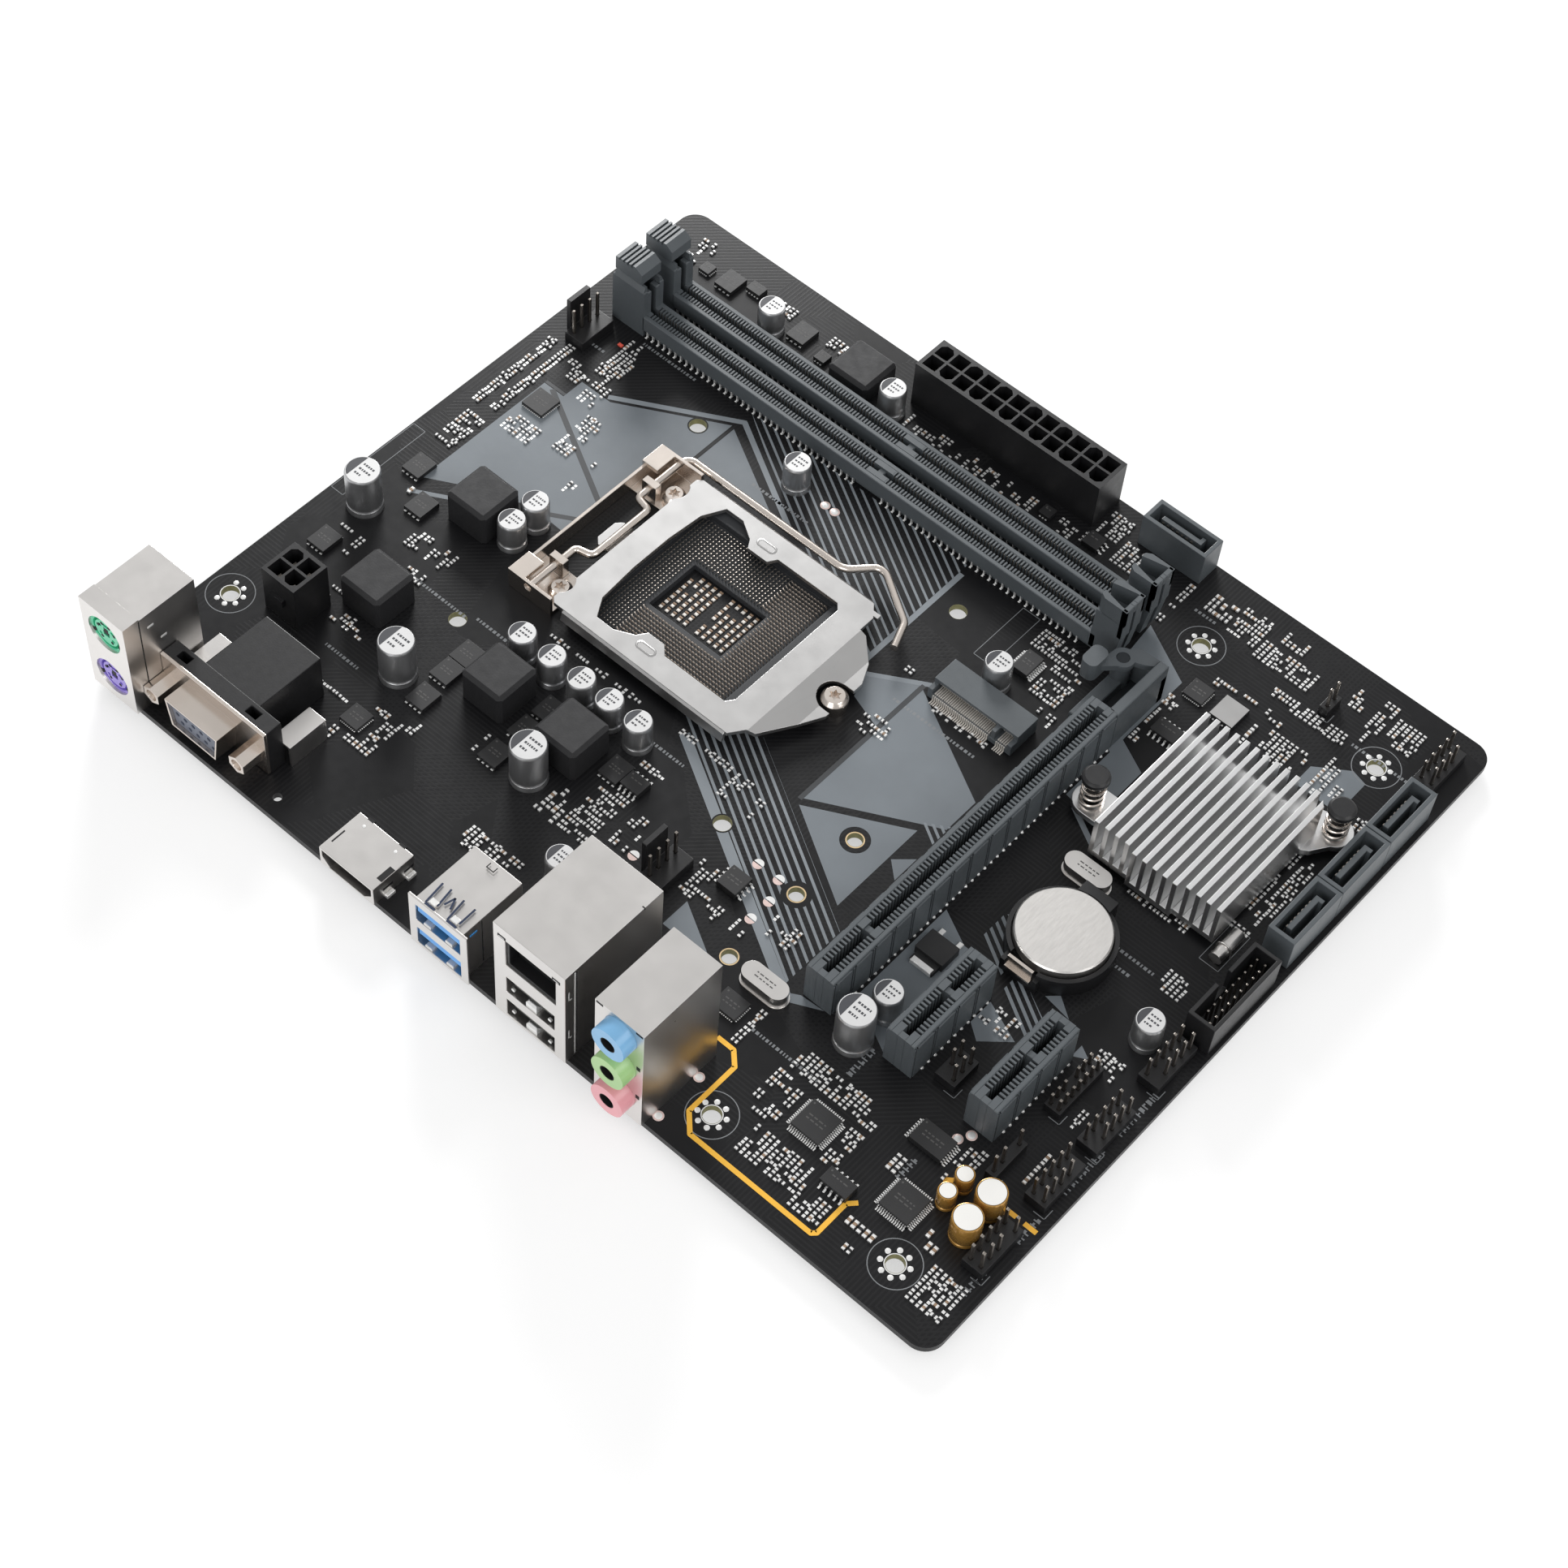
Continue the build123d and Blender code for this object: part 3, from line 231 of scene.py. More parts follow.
def surface(name, shade, rough, metallic=0.0, vary=0.08, coarse=120.0, fine=1800.0, bump=0.12,
            stretch=(1.0, 1.0, 1.0), coat=0.0, specular=0.5, rough_vary=0.08):
    """Principled material with cloudy colour and gloss, and a fine grain in relief."""
    mat = bpy.data.materials.new(name)
    mat.use_nodes = True
    nodes, links = mat.node_tree.nodes, mat.node_tree.links
    shader = nodes["Principled BSDF"]
    shader.inputs["Metallic"].default_value = metallic
    shader.inputs["Coat Weight"].default_value = coat
    shader.inputs["Specular IOR Level"].default_value = specular
    coords = nodes.new("ShaderNodeTexCoord")
    cloud = link_noise(nodes, links, coords, coarse, 5.0)
    ramp = nodes.new("ShaderNodeValToRGB")
    ramp.color_ramp.elements[0].position = 0.3
    ramp.color_ramp.elements[1].position = 0.7
    ramp.color_ramp.elements[0].color = [c * (1 - vary) for c in shade] + [1]
    ramp.color_ramp.elements[1].color = [min(1, c * (1 + vary)) for c in shade] + [1]
    links.new(cloud, ramp.inputs["Fac"])
    links.new(ramp.outputs["Color"], shader.inputs["Base Color"])
    gloss = nodes.new("ShaderNodeMapRange")
    gloss.inputs["To Min"].default_value = max(0.03, rough - rough_vary)
    gloss.inputs["To Max"].default_value = rough + rough_vary
    links.new(link_noise(nodes, links, coords, fine / 4, 3.0, stretch), gloss.inputs["Value"])
    links.new(gloss.outputs["Result"], shader.inputs["Roughness"])
    relief = nodes.new("ShaderNodeBump")
    relief.inputs["Strength"].default_value = bump
    relief.inputs["Distance"].default_value = 0.00005
    links.new(link_noise(nodes, links, coords, fine, 3.0, stretch), relief.inputs["Height"])
    links.new(relief.outputs["Normal"], shader.inputs["Normal"])
    return mat


def board_mask():
    """Black solder mask with bundles of copper tracks showing faintly in relief."""
    mat = surface("board_mask", (0.0075, 0.0075, 0.0085), 0.38, vary=0.2, coarse=60.0, bump=0.05,
                  specular=0.25)
    nodes, links = mat.node_tree.nodes, mat.node_tree.links
    coords = nodes.new("ShaderNodeTexCoord")
    cells = nodes.new("ShaderNodeTexVoronoi")
    cells.inputs["Scale"].default_value = 62.0
    links.new(coords.outputs["Object"], cells.inputs["Vector"])
    heights = []
    for turn in (0.0, 90.0, 45.0):
        place = nodes.new("ShaderNodeMapping")
        place.inputs["Rotation"].default_value = (0, 0, radians(turn))
        wave = nodes.new("ShaderNodeTexWave")
        wave.inputs["Scale"].default_value = 330.0
        wave.inputs["Distortion"].default_value = 0.0
        step = nodes.new("ShaderNodeMapRange")
        step.inputs["From Min"].default_value = 0.55
        step.inputs["From Max"].default_value = 0.75
        links.new(coords.outputs["Object"], place.inputs["Vector"])
        links.new(place.outputs["Vector"], wave.inputs["Vector"])
        links.new(wave.outputs["Fac"], step.inputs["Value"])
        heights.append(step.outputs["Result"])
    split = nodes.new("ShaderNodeSeparateColor")
    links.new(cells.outputs["Color"], split.inputs["Color"])
    total = None
    for height, channel, limit in zip(heights, ("Red", "Green", "Blue"), (0.6, 0.62, 0.7)):
        gate = nodes.new("ShaderNodeMath")
        gate.operation = "GREATER_THAN"
        gate.inputs[1].default_value = limit
        links.new(split.outputs[channel], gate.inputs[0])
        part = nodes.new("ShaderNodeMath")
        part.operation = "MULTIPLY"
        links.new(gate.outputs[0], part.inputs[0])
        links.new(height, part.inputs[1])
        if total is None:
            total = part.outputs[0]
        else:
            both = nodes.new("ShaderNodeMath")
            both.operation = "MAXIMUM"
            links.new(total, both.inputs[0])
            links.new(part.outputs[0], both.inputs[1])
            total = both.outputs[0]
    tracks = nodes.new("ShaderNodeBump")
    tracks.inputs["Strength"].default_value = 0.15
    tracks.inputs["Distance"].default_value = 0.00004
    links.new(total, tracks.inputs["Height"])
    shader = nodes["Principled BSDF"]
    under = shader.inputs["Normal"].links[0].from_socket
    links.new(under, tracks.inputs["Normal"])
    links.new(tracks.outputs["Normal"], shader.inputs["Normal"])
    tint = nodes.new("ShaderNodeMix")
    tint.data_type = "RGBA"
    tint.inputs["B"].default_value = (0.0125, 0.0125, 0.0135, 1)
    links.new(shader.inputs["Base Color"].links[0].from_socket, tint.inputs["A"])
    links.new(total, tint.inputs["Factor"])
    links.new(tint.outputs["Result"], shader.inputs["Base Color"])
    return mat


MASK = board_mask()
SILK = surface("slate_print", (0.165, 0.187, 0.207), 0.5, vary=0.05, bump=0.1)
SILK_LIGHT = surface("light_print", (0.22, 0.245, 0.268), 0.5, vary=0.05, bump=0.1)
SILK_DARK = surface("dark_print", (0.03, 0.033, 0.037), 0.45, vary=0.1, bump=0.1)
SILK_WORD = surface("grey_print", (0.20, 0.21, 0.22), 0.55, vary=0.1, bump=0.1)
AMBER = surface("amber_print", (0.92, 0.50, 0.05), 0.4, vary=0.05)
LAMINATE = surface("laminate_edge", (0.20, 0.19, 0.08), 0.6, vary=0.25, coarse=900.0, bump=0.3)
SLATE = surface("slate_plastic", (0.090, 0.102, 0.111), 0.42, vary=0.06, fine=2600.0, bump=0.16)
# painted shade: darker slate for slot channels, open posts, the retainer frame and the socket tray
SHADE_SLATE = surface("slate_painted_shade", (0.016, 0.020, 0.024), 0.6, vary=0.1)
BLACK = surface("black_plastic", (0.010, 0.010, 0.011), 0.42, vary=0.12, fine=2600.0, bump=0.2)
SOCKET = surface("socket_plastic", (0.030, 0.032, 0.036), 0.55, vary=0.1, fine=2600.0, bump=0.2)
TIN = surface("tin_plate", (0.74, 0.72, 0.70), 0.30, 1.0, vary=0.03, coarse=45.0, fine=900.0, bump=0.02,
              rough_vary=0.05)
NICKEL = surface("nickel_plate", (0.76, 0.69, 0.63), 0.24, 1.0, vary=0.04, coarse=90.0, fine=900.0, bump=0.02,
                 rough_vary=0.05)
PLATE = surface("plate_steel", (0.52, 0.515, 0.51), 0.34, 1.0, vary=0.03, coarse=60.0, fine=900.0, bump=0.02,
                rough_vary=0.05)
ALU = surface("fin_aluminium", (0.88, 0.88, 0.88), 0.30, 1.0, vary=0.04, coarse=90.0, fine=900.0, bump=0.1,
              stretch=(10.0, 1.0, 10.0), rough_vary=0.06)
CAN = surface("can_aluminium", (0.50, 0.505, 0.515), 0.34, 0.9, vary=0.05, fine=900.0, bump=0.02,
              stretch=(1.0, 1.0, 8.0), rough_vary=0.05)
CAN_TOP = surface("can_top", (0.68, 0.68, 0.68), 0.42, 0.3, vary=0.02, fine=900.0, bump=0.02)
PRINT_DARK = surface("can_print", (0.045, 0.047, 0.055), 0.5, vary=0.15)
GOLD = surface("gold_plate", (0.92, 0.70, 0.42), 0.28, 1.0, vary=0.08, coarse=900.0)
CONTACT = surface("contact_spring", (0.46, 0.41, 0.36), 0.36, 0.8, vary=0.12, coarse=900.0)
# lighter copy of the contact metal, a painted sheen for one zone of socket leaves
SHEEN_CONTACT = surface("socket_leaf_painted_sheen", (0.50, 0.43, 0.37), 0.36, 0.7, vary=0.12, coarse=900.0)
PIN = surface("pin_bronze", (0.34, 0.31, 0.28), 0.3, 1.0, vary=0.1, coarse=500.0)
SOLDER = surface("solder", (0.90, 0.90, 0.89), 0.34, 0.5, vary=0.05, coarse=900.0, bump=0.1)
PAD = surface("bare_pad", (0.80, 0.76, 0.71), 0.36, 0.5, vary=0.05, coarse=900.0)
BLUSH = surface("flux_pad", (0.80, 0.62, 0.58), 0.36, 0.4, vary=0.08, coarse=900.0)
# black painted shade that fills holes, slots, windows and bores of the rear connectors
SHADE_BLACK = surface("painted_shade_black", (0.004, 0.004, 0.005), 0.7, vary=0.2)
# dark blue painted shade in the slits over the blue port
SHADE_BLUE = surface("painted_shade_blue", (0.006, 0.022, 0.07), 0.5, vary=0.1)
GLOW = surface("status_light", (0.80, 0.12, 0.08), 0.3, vary=0.05)
MLCC = surface("capacitor_ceramic", (0.30, 0.20, 0.13), 0.45, vary=0.15, coarse=700.0)
RESISTOR = surface("resistor_glaze", (0.022, 0.022, 0.025), 0.3, vary=0.2, coarse=700.0)
EPOXY = surface("chip_epoxy", (0.016, 0.016, 0.017), 0.5, vary=0.12, fine=2800.0, bump=0.25)
MARK = surface("laser_mark", (0.075, 0.073, 0.072), 0.6, vary=0.15)
GREEN = surface("ps2_green", (0.07, 0.58, 0.32), 0.30, vary=0.06, coat=0.2)
PURPLE = surface("ps2_purple", (0.27, 0.19, 0.66), 0.30, vary=0.06, coat=0.2)
USB_BLUE = surface("usb_blue", (0.05, 0.33, 0.80), 0.32, vary=0.04, coat=0.2)
JACK_BLUE = surface("jack_blue", (0.20, 0.45, 0.72), 0.32, vary=0.05, coat=0.3)
JACK_GREEN = surface("jack_green", (0.36, 0.60, 0.24), 0.32, vary=0.05, coat=0.3)
JACK_PINK = surface("jack_pink", (0.80, 0.34, 0.38), 0.32, vary=0.05, coat=0.3)
VGA_BLUE = surface("vga_blue", (0.13, 0.15, 0.20), 0.4, vary=0.08)
FERRITE = surface("ferrite", (0.014, 0.014, 0.0155), 0.62, vary=0.14, fine=2200.0, bump=0.4,
                  rough_vary=0.12)
CELL = surface("cell_steel", (0.77, 0.75, 0.725), 0.36, 1.0, vary=0.02, coarse=60.0, bump=0.04,
               stretch=(6.0, 1.0, 1.0))
SLEEVE = surface("gold_sleeve", (0.50, 0.27, 0.06), 0.25, 0.5, vary=0.06, coat=0.4)
CAP_WHITE = surface("cap_white", (0.86, 0.85, 0.82), 0.4, vary=0.03)

FINISH = {
    "pcb": MASK, "ilm_hinge_frame": NICKEL, "ilm_load_plate": PLATE, "ilm_load_lever": NICKEL,
    "ilm_frame_screws": NICKEL, "ilm_shoulder_screw": NICKEL, "ilm_backplate": PLATE,
    "socket_body": SOCKET, "dimm_latch_a": SLATE, "dimm_latch_b": SLATE, "pcie_x16_latch": SLATE,
    "m2_connector": SLATE, "power_connector_housings": BLACK, "power_connector_pins": PIN,
    "sata_connectors": SLATE, "sata_contacts": PIN, "usb3_header_shroud": BLACK,
    "pin_header_bases": BLACK, "header_pins": PIN, "fan_header_bases": BLACK, "ps2_shell": TIN,
    "ps2_port_green": GREEN, "ps2_port_purple": PURPLE, "vga_housing": BLACK, "vga_shell": NICKEL,
    "vga_insert": VGA_BLUE, "vga_jackscrews": NICKEL, "vga_board_locks": TIN, "hdmi_shell": TIN,
    "hdmi_tongue": BLACK, "usb3_stack_shell": TIN, "usb3_stack_tongues": USB_BLUE,
    "lan_usb_shell": TIN, "lan_usb_insert": BLACK, "audio_shell": TIN,
    "audio_jack_blue": JACK_BLUE, "audio_jack_green": JACK_GREEN, "audio_jack_pink": JACK_PINK,
    "chipset_package": EPOXY, "chipset_heatsink": ALU, "push_pin_1": BLACK, "push_pin_2": BLACK,
    "battery": CELL, "battery_holder": BLACK, "battery_contacts": NICKEL, "chokes": FERRITE,
    "crystals": TIN, "ic_packages": EPOXY, "power_transistors": EPOXY,
}
EASED = {
    "ilm_hinge_frame": 0.12, "ilm_load_plate": 0.35, "ilm_load_lever": 0.0, "ilm_frame_screws": 0.1,
    "ilm_shoulder_screw": 0.12, "ilm_backplate": 0.15, "socket_body": 0.15, "dimm_latch_a": 0.2,
    "dimm_latch_b": 0.2, "pcie_x16_latch": 0.2, "m2_connector": 0.12,
    "power_connector_housings": 0.14, "sata_connectors": 0.14, "usb3_header_shroud": 0.15,
    "pin_header_bases": 0.12, "header_pins": 0.1, "fan_header_bases": 0.15, "ps2_shell": 0.2,
    "ps2_port_green": 0.15, "ps2_port_purple": 0.15, "vga_housing": 0.2, "vga_shell": 0.12,
    "vga_insert": 0.05, "vga_jackscrews": 0.2, "vga_board_locks": 0.1, "hdmi_shell": 0.15,
    "hdmi_tongue": 0.12, "usb3_stack_shell": 0.15, "usb3_stack_tongues": 0.15,
    "lan_usb_shell": 0.15, "lan_usb_insert": 0.15, "audio_shell": 0.25, "audio_jack_blue": 0.35,
    "audio_jack_green": 0.35, "audio_jack_pink": 0.35, "chipset_package": 0.1,
    "chipset_heatsink": 0.12, "push_pin_1": 0.12, "push_pin_2": 0.12, "battery": 0.0,
    "battery_holder": 0.15, "battery_contacts": 0.08, "chokes": 0.12, "crystals": 0.45,
    "ic_packages": 0.08, "power_transistors": 0.08,
}


def finish_cad_nodes():
    """Every carried-over CAD node gets its material and softly broken edges."""
    for node, mat in FINISH.items():
        piece = NODES[node]
        piece.data.materials.clear()
        piece.data.materials.append(mat)
        ease = EASED.get(node, 0.0)
        if ease:
            weld = piece.modifiers.new("weld", "WELD")
            weld.merge_threshold = 0.000002
            bevel = piece.modifiers.new("ease", "BEVEL")
            bevel.width = ease * MM
            bevel.segments = 2
            bevel.limit_method = "ANGLE"
            bevel.angle_limit = radians(38)
            bevel.harden_normals = False


# ---------------------------------------------------------------- printed fields on the board
SLOPE = radians(-30.5)
HOLES = [(39.18, 28.09, 2.0, 0.0), (114.18, 28.09, 2.0, 0.0), (39.18, 103.09, 2.0, 0.0),
         (114.18, 103.09, 2.0, 0.0), (136.33, 43.54, 1.7, 2.9), (136.33, 25.54, 1.7, 2.9),
         (136.33, 5.54, 1.7, 2.9)]
FIELDS = [
    [(6.2, 50.4), (14.0, 54.8), (29.0, 61.0), (38.8, 60.5), (41.0, 62.0), (41.0, 92.5), (44.6, 95.0),
     (44.6, 108.4), (20.6, 94.6), (12.0, 94.6), (12.0, 88.6), (6.2, 88.6)],
    [(45.6, 107.9), (45.6, 94.0), (66.0, 94.0), (69.0, 94.6)],
    [(122.0, 82.0), (148.2, 67.5), (148.2, 58.2), (146.2, 57.2), (122.0, 44.0)],
    [(110.5, 76.5), (120.9, 82.7), (120.9, 68.0), (112.6, 70.8)],
    [(122.4, 42.2), (144.0, 54.0), (144.0, 29.2)],
    [(144.6, 45.0), (148.4, 48.6), (148.4, 41.6)],
    [(121.6, 9.4), (132.6, 3.2), (132.6, 2.2), (121.6, 2.2)],
    [(146.2, 129.0), (160.4, 121.4), (160.4, 101.0), (168.4, 97.0), (168.4, 80.6), (160.4, 82.0),
     (160.4, 96.6), (149.0, 103.0)],
    [(160.4, 43.5), (168.4, 39.4), (172.6, 39.4), (172.6, 9.8), (163.6, 14.4), (160.4, 17.0)],
    [(180.4, 33.0), (189.6, 29.2), (184.0, 24.2), (180.4, 26.8)],
    [(187.4, 41.4), (189.6, 43.6), (194.2, 40.4)],
    [(199.6, 37.6), (202.6, 36.0), (199.6, 34.4)],
    [(193.0, 117.0), (193.0, 122.8), (200.2, 128.0), (204.0, 127.0), (204.0, 117.0)],
    [(152.4, 8.6), (158.0, 9.0), (150.6, 5.2), (148.6, 6.4)],
]
BANDS = [((19.2, 95.4), (46.4, 111.2), 1.3), ((46.0, 111.0), (74.0, 94.6), 1.3),
         ((6.4, 45.6), (16.0, 51.2), 1.1), ((93.6, 39.2), (150.6, 6.2), 2.3),
         ((108.2, 77.6), (108.2, 111.6), 1.3), ((163.6, 80.6), (174.2, 74.6), 1.2),
         ((174.0, 74.6), (186.6, 81.6), 1.2), ((110.6, 76.9), (122.6, 84.2), 1.2)]
DARK_LINES = [((8.8, 88.4), (39.4, 71.4), 1.3), ((32.6, 61.6), (40.6, 66.4), 1.2),
              ((6.2, 89.2), (12.0, 89.2), 0.8), ((121.5, 83.0), (121.5, 43.4), 1.1)]
STRIPES = [([(47.6, 112.6), (45.0, 114.4), (107.5, 114.4), (107.5, 78.0), (100.0, 80.6), (75.0, 95.0)],
            1.85, 0.55),
           ([(88.0, 43.4), (106.0, 49.8), (148.4, 24.9), (148.4, 8.6), (95.6, 39.4)], 1.72, 0.62),
           ([(143.6, 56.4), (148.4, 59.4), (148.4, 52.6)], 1.5, 0.6),
           ([(169.6, 50.8), (172.0, 52.4), (178.0, 42.0), (178.0, 38.6), (169.6, 43.2)], 1.55, 0.7),
           ([(180.4, 42.4), (190.4, 37.0), (190.4, 30.4), (180.4, 36.6)], 1.55, 0.7)]


def keep_side(outline, px, py, nx, ny):
    """The part of a convex outline on the positive side of a line."""
    kept = []
    for i, (x0, y0) in enumerate(outline):
        x1, y1 = outline[(i + 1) % len(outline)]
        d0 = (x0 - px) * nx + (y0 - py) * ny
        d1 = (x1 - px) * nx + (y1 - py) * ny
        if d0 >= 0:
            kept.append((x0, y0))
        if d0 * d1 < 0:
            share = d0 / (d0 - d1)
            kept.append((x0 + (x1 - x0) * share, y0 + (y1 - y0) * share))
    return kept


def stripe_outlines(region, pitch, width):
    nx, ny = -sin(SLOPE), cos(SLOPE)
    offsets = [x * nx + y * ny for x, y in region]
    place = min(offsets) + pitch / 2
    found = []
    while place < max(offsets):
        low = keep_side(region, nx * place, ny * place, nx, ny)
        high = place + width
        strip = keep_side(low, nx * high, ny * high, -nx, -ny) if len(low) > 2 else []
        if len(strip) > 2:
            found.append(strip)
        place += pitch
    return found


def printed_fields():
    build = Build()
    for outline in FIELDS:
        build.prism(outline, TOP - 0.01, TOP + 0.012, 0)
    for a, b, width in BANDS:
        build.bar(a, b, width, TOP - 0.01, TOP + 0.018, 1)
    for region, pitch, width in STRIPES:
        for strip in stripe_outlines(region, pitch, width):
            build.prism(strip, TOP - 0.01, TOP + 0.015, 1)
    for a, b, width in DARK_LINES:
        build.bar(a, b, width, TOP - 0.01, TOP + 0.024, 2)
    prints = make(build, "printed_fields", [SILK, SILK_LIGHT, SILK_DARK])
    cutter = Build()
    for x, y, r, black in HOLES:
        cutter.lathe(x, y, [(max(r, black) + 0.35, TOP - 1), (max(r, black) + 0.35, TOP + 1)], 0, 40)
    mesh = bpy.data.meshes.new("hole_cutter")
    mesh.from_pydata([(x * MM, y * MM, z * MM) for x, y, z in cutter.points], [], cutter.faces)
    tool = bpy.data.objects.new("hole_cutter", mesh)
    bpy.context.scene.collection.objects.link(tool)
    cut = prints.modifiers.new("holes", "BOOLEAN")
    cut.object = tool
    cut.operation = "DIFFERENCE"
    cut.solver = "EXACT"
    cut.use_self = True
    bpy.context.view_layer.update()
    shown = prints.evaluated_get(bpy.context.evaluated_depsgraph_get())
    final = bpy.data.meshes.new_from_object(shown)
    final.shade_flat()
    prints.modifiers.clear()
    prints.data = final
    bpy.data.objects.remove(tool)


AMBER_LINE = [(146.8, -9.5), (151.0, -9.5), (153.7, -12.2), (153.7, -25.2), (157.2, -28.8), (187.6, -28.8),
              (188.4, -28.0), (188.4, -19.7), (190.0, -18.0)]
AMBER_DASHES = [((198.5, -3.3), (200.3, -1.9)), ((211.6, 0.0), (213.6, 0.0)), ((215.5, 0.0), (218.5, 0.0))]
THIN_BOXES = [(-6.0, -2.5, 35.0, 60.0), (123.6, 128.2, 96.8, 113.6), (204.2, 208.9, 69.4, 80.2)]


def printed_lines():
    build = Build()
    for a, b in list(zip(AMBER_LINE, AMBER_LINE[1:])) + AMBER_DASHES:
        build.bar(a, b, 1.05, TOP - 0.01, TOP + 0.03, 0)
    for x, y in AMBER_LINE[1:-1]:
        build.lathe(x, y, [(0.52, TOP - 0.01), (0.52, TOP + 0.0295)], 0, 16)
    for x, y in standoffs():
        build.ring(x, y, TOP - 0.01, TOP + 0.02, 5.15, 5.35, 1)
    for x0, x1, y0, y1 in THIN_BOXES:
        corners = [(x0, y0), (x1, y0), (x1, y1), (x0, y1)]
        for i in range(4):
            build.bar(corners[i], corners[(i + 1) % 4], 0.16, TOP - 0.01, TOP + 0.02, 1)
    make(build, "printed_lines", [AMBER, SILK_WORD])


def standoffs():
    return [(0.0, 0.0), (157.48, -22.86), (203.2, -22.86), (157.48, 132.08), (203.2, 132.08)]


def plated_holes():
    """Grounding dots round the standoff holes, and the raw laminate wall of every hole."""
    build = Build()
    for x, y in standoffs():
        build.ring(x, y, TOP - 0.01, TOP + 0.03, 2.0, 2.2, 0)
        for k in range(8):
            a = radians(22.5 + 45 * k)
            if (x, y) == (0.0, 0.0) and k in (3, 4):
                continue
            build.lathe(x + 2.95 * cos(a), y + 2.95 * sin(a),
                        [(0.62, TOP), (0.56, TOP + 0.07), (0.3, TOP + 0.12)], 0, 14)
            build.lathe(x + 2.95 * cos(a), y + 2.95 * sin(a), [(0.3, -0.1), (0.62, 0.0)], 0, 14)
        build.ring(x, y, 0.01, TOP - 0.01, 1.9, 1.99, 1)
    for x, y, r, black in HOLES:
        build.ring(x, y, 0.01, TOP - 0.01, r - 0.06, r + 0.01, 1)
        if black:
            build.ring(x, y, TOP - 0.01, TOP + 0.02, r + 0.02, r + 0.3, 2)
    make(build, "plated_holes", [SOLDER, LAMINATE, GOLD])


# ---------------------------------------------------------------- small surface-mounted parts
rng = random.Random(31)
taken = []


def claim(x0, x1, y0, y1):
    """Reserves a footprint; False if something is already there."""
    for a0, a1, b0, b1 in taken:
        if x0 < a1 and x1 > a0 and y0 < b1 and y1 > b0:
            return False
    taken.append((x0, x1, y0, y1))
    return True


def block_off():
    """No small part goes under a big one or over a hole."""
    for node in ("socket_body", "ilm_hinge_frame", "dimm_slots", "pcie_x16_slot", "pcie_x1_slots",
                 "m2_connector", "power_connector_housings", "sata_connectors", "usb3_header_shroud",
                 "pin_header_bases", "fan_header_bases", "ps2_shell", "vga_housing", "hdmi_shell",
                 "usb3_stack_shell", "lan_usb_shell", "audio_shell", "battery_holder", "chokes",
                 "capacitors", "audio_capacitors", "crystals", "ic_packages", "power_transistors"):
        grow = 1.3 if node in ("ic_packages", "power_transistors") else 0.35
        for low, high in solids(node):
            taken.append((low[0] - grow, high[0] + grow, low[1] - grow, high[1] + grow))
    for x, y in standoffs():
        taken.append((x - 5.0, x + 5.0, y - 5.0, y + 5.0))
    for x, y, r, _ in HOLES:
        taken.append((x - r - 1.3, x + r + 1.3, y - r - 1.3, y + r + 1.3))
    for x, y in ((207.0, 110.7), (166.0, 82.5)):
        taken.append((x - 2.0, x + 2.0, y - 2.0, y + 2.0))
    low, high = span("chipset_package")
    taken.append((low[0], high[0], low[1], high[1]))


SIZES = {"s": (1.3, 0.62, 0.4), "m": (1.6, 0.8, 0.5), "l": (2.0, 1.25, 0.8), "x": (3.2, 1.6, 0.9)}


def passive(build, x, y, size, upright, kind):
    """Chip part: ceramic or glazed body between two soldered ends."""
    length, width, height = SIZES[size]
    hx, hy = (width / 2, length / 2) if upright else (length / 2, width / 2)
    grow = 0.12
    if not claim(x - hx - grow, x + hx + grow, y - hy - grow, y + hy + grow):
        return
    end = length * 0.32
    if kind == "pad":
        for s in (-1, 1):
            cx, cy = (x, y + s * (hy - end / 2)) if upright else (x + s * (hx - end / 2), y)
            build.box(cx - 0.32, cx + 0.32, cy - 0.32, cy + 0.32, TOP, TOP + 0.05, 0)
        return
    for s in (-1, 1):
        if upright:
            e0, e1 = sorted((y + s * (hy - end), y + s * (hy + 0.10)))
            build.box(x - hx - 0.05, x + hx + 0.05, e0, e1, TOP, TOP + height + 0.02, 0, 0.1)
        else:
            e0, e1 = sorted((x + s * (hx - end), x + s * (hx + 0.10)))
            build.box(e0, e1, y - hy - 0.05, y + hy + 0.05, TOP, TOP + height + 0.02, 0, 0.1)
    mat = {"c": 1, "r": 2}[kind]
    if upright:
        build.box(x - hx, x + hx, y - hy + end, y + hy - end, TOP + 0.03, TOP + height, mat, 0.03)
    else:
        build.box(x - hx + end, x + hx - end, y - hy, y + hy, TOP + 0.03, TOP + height, mat, 0.03)


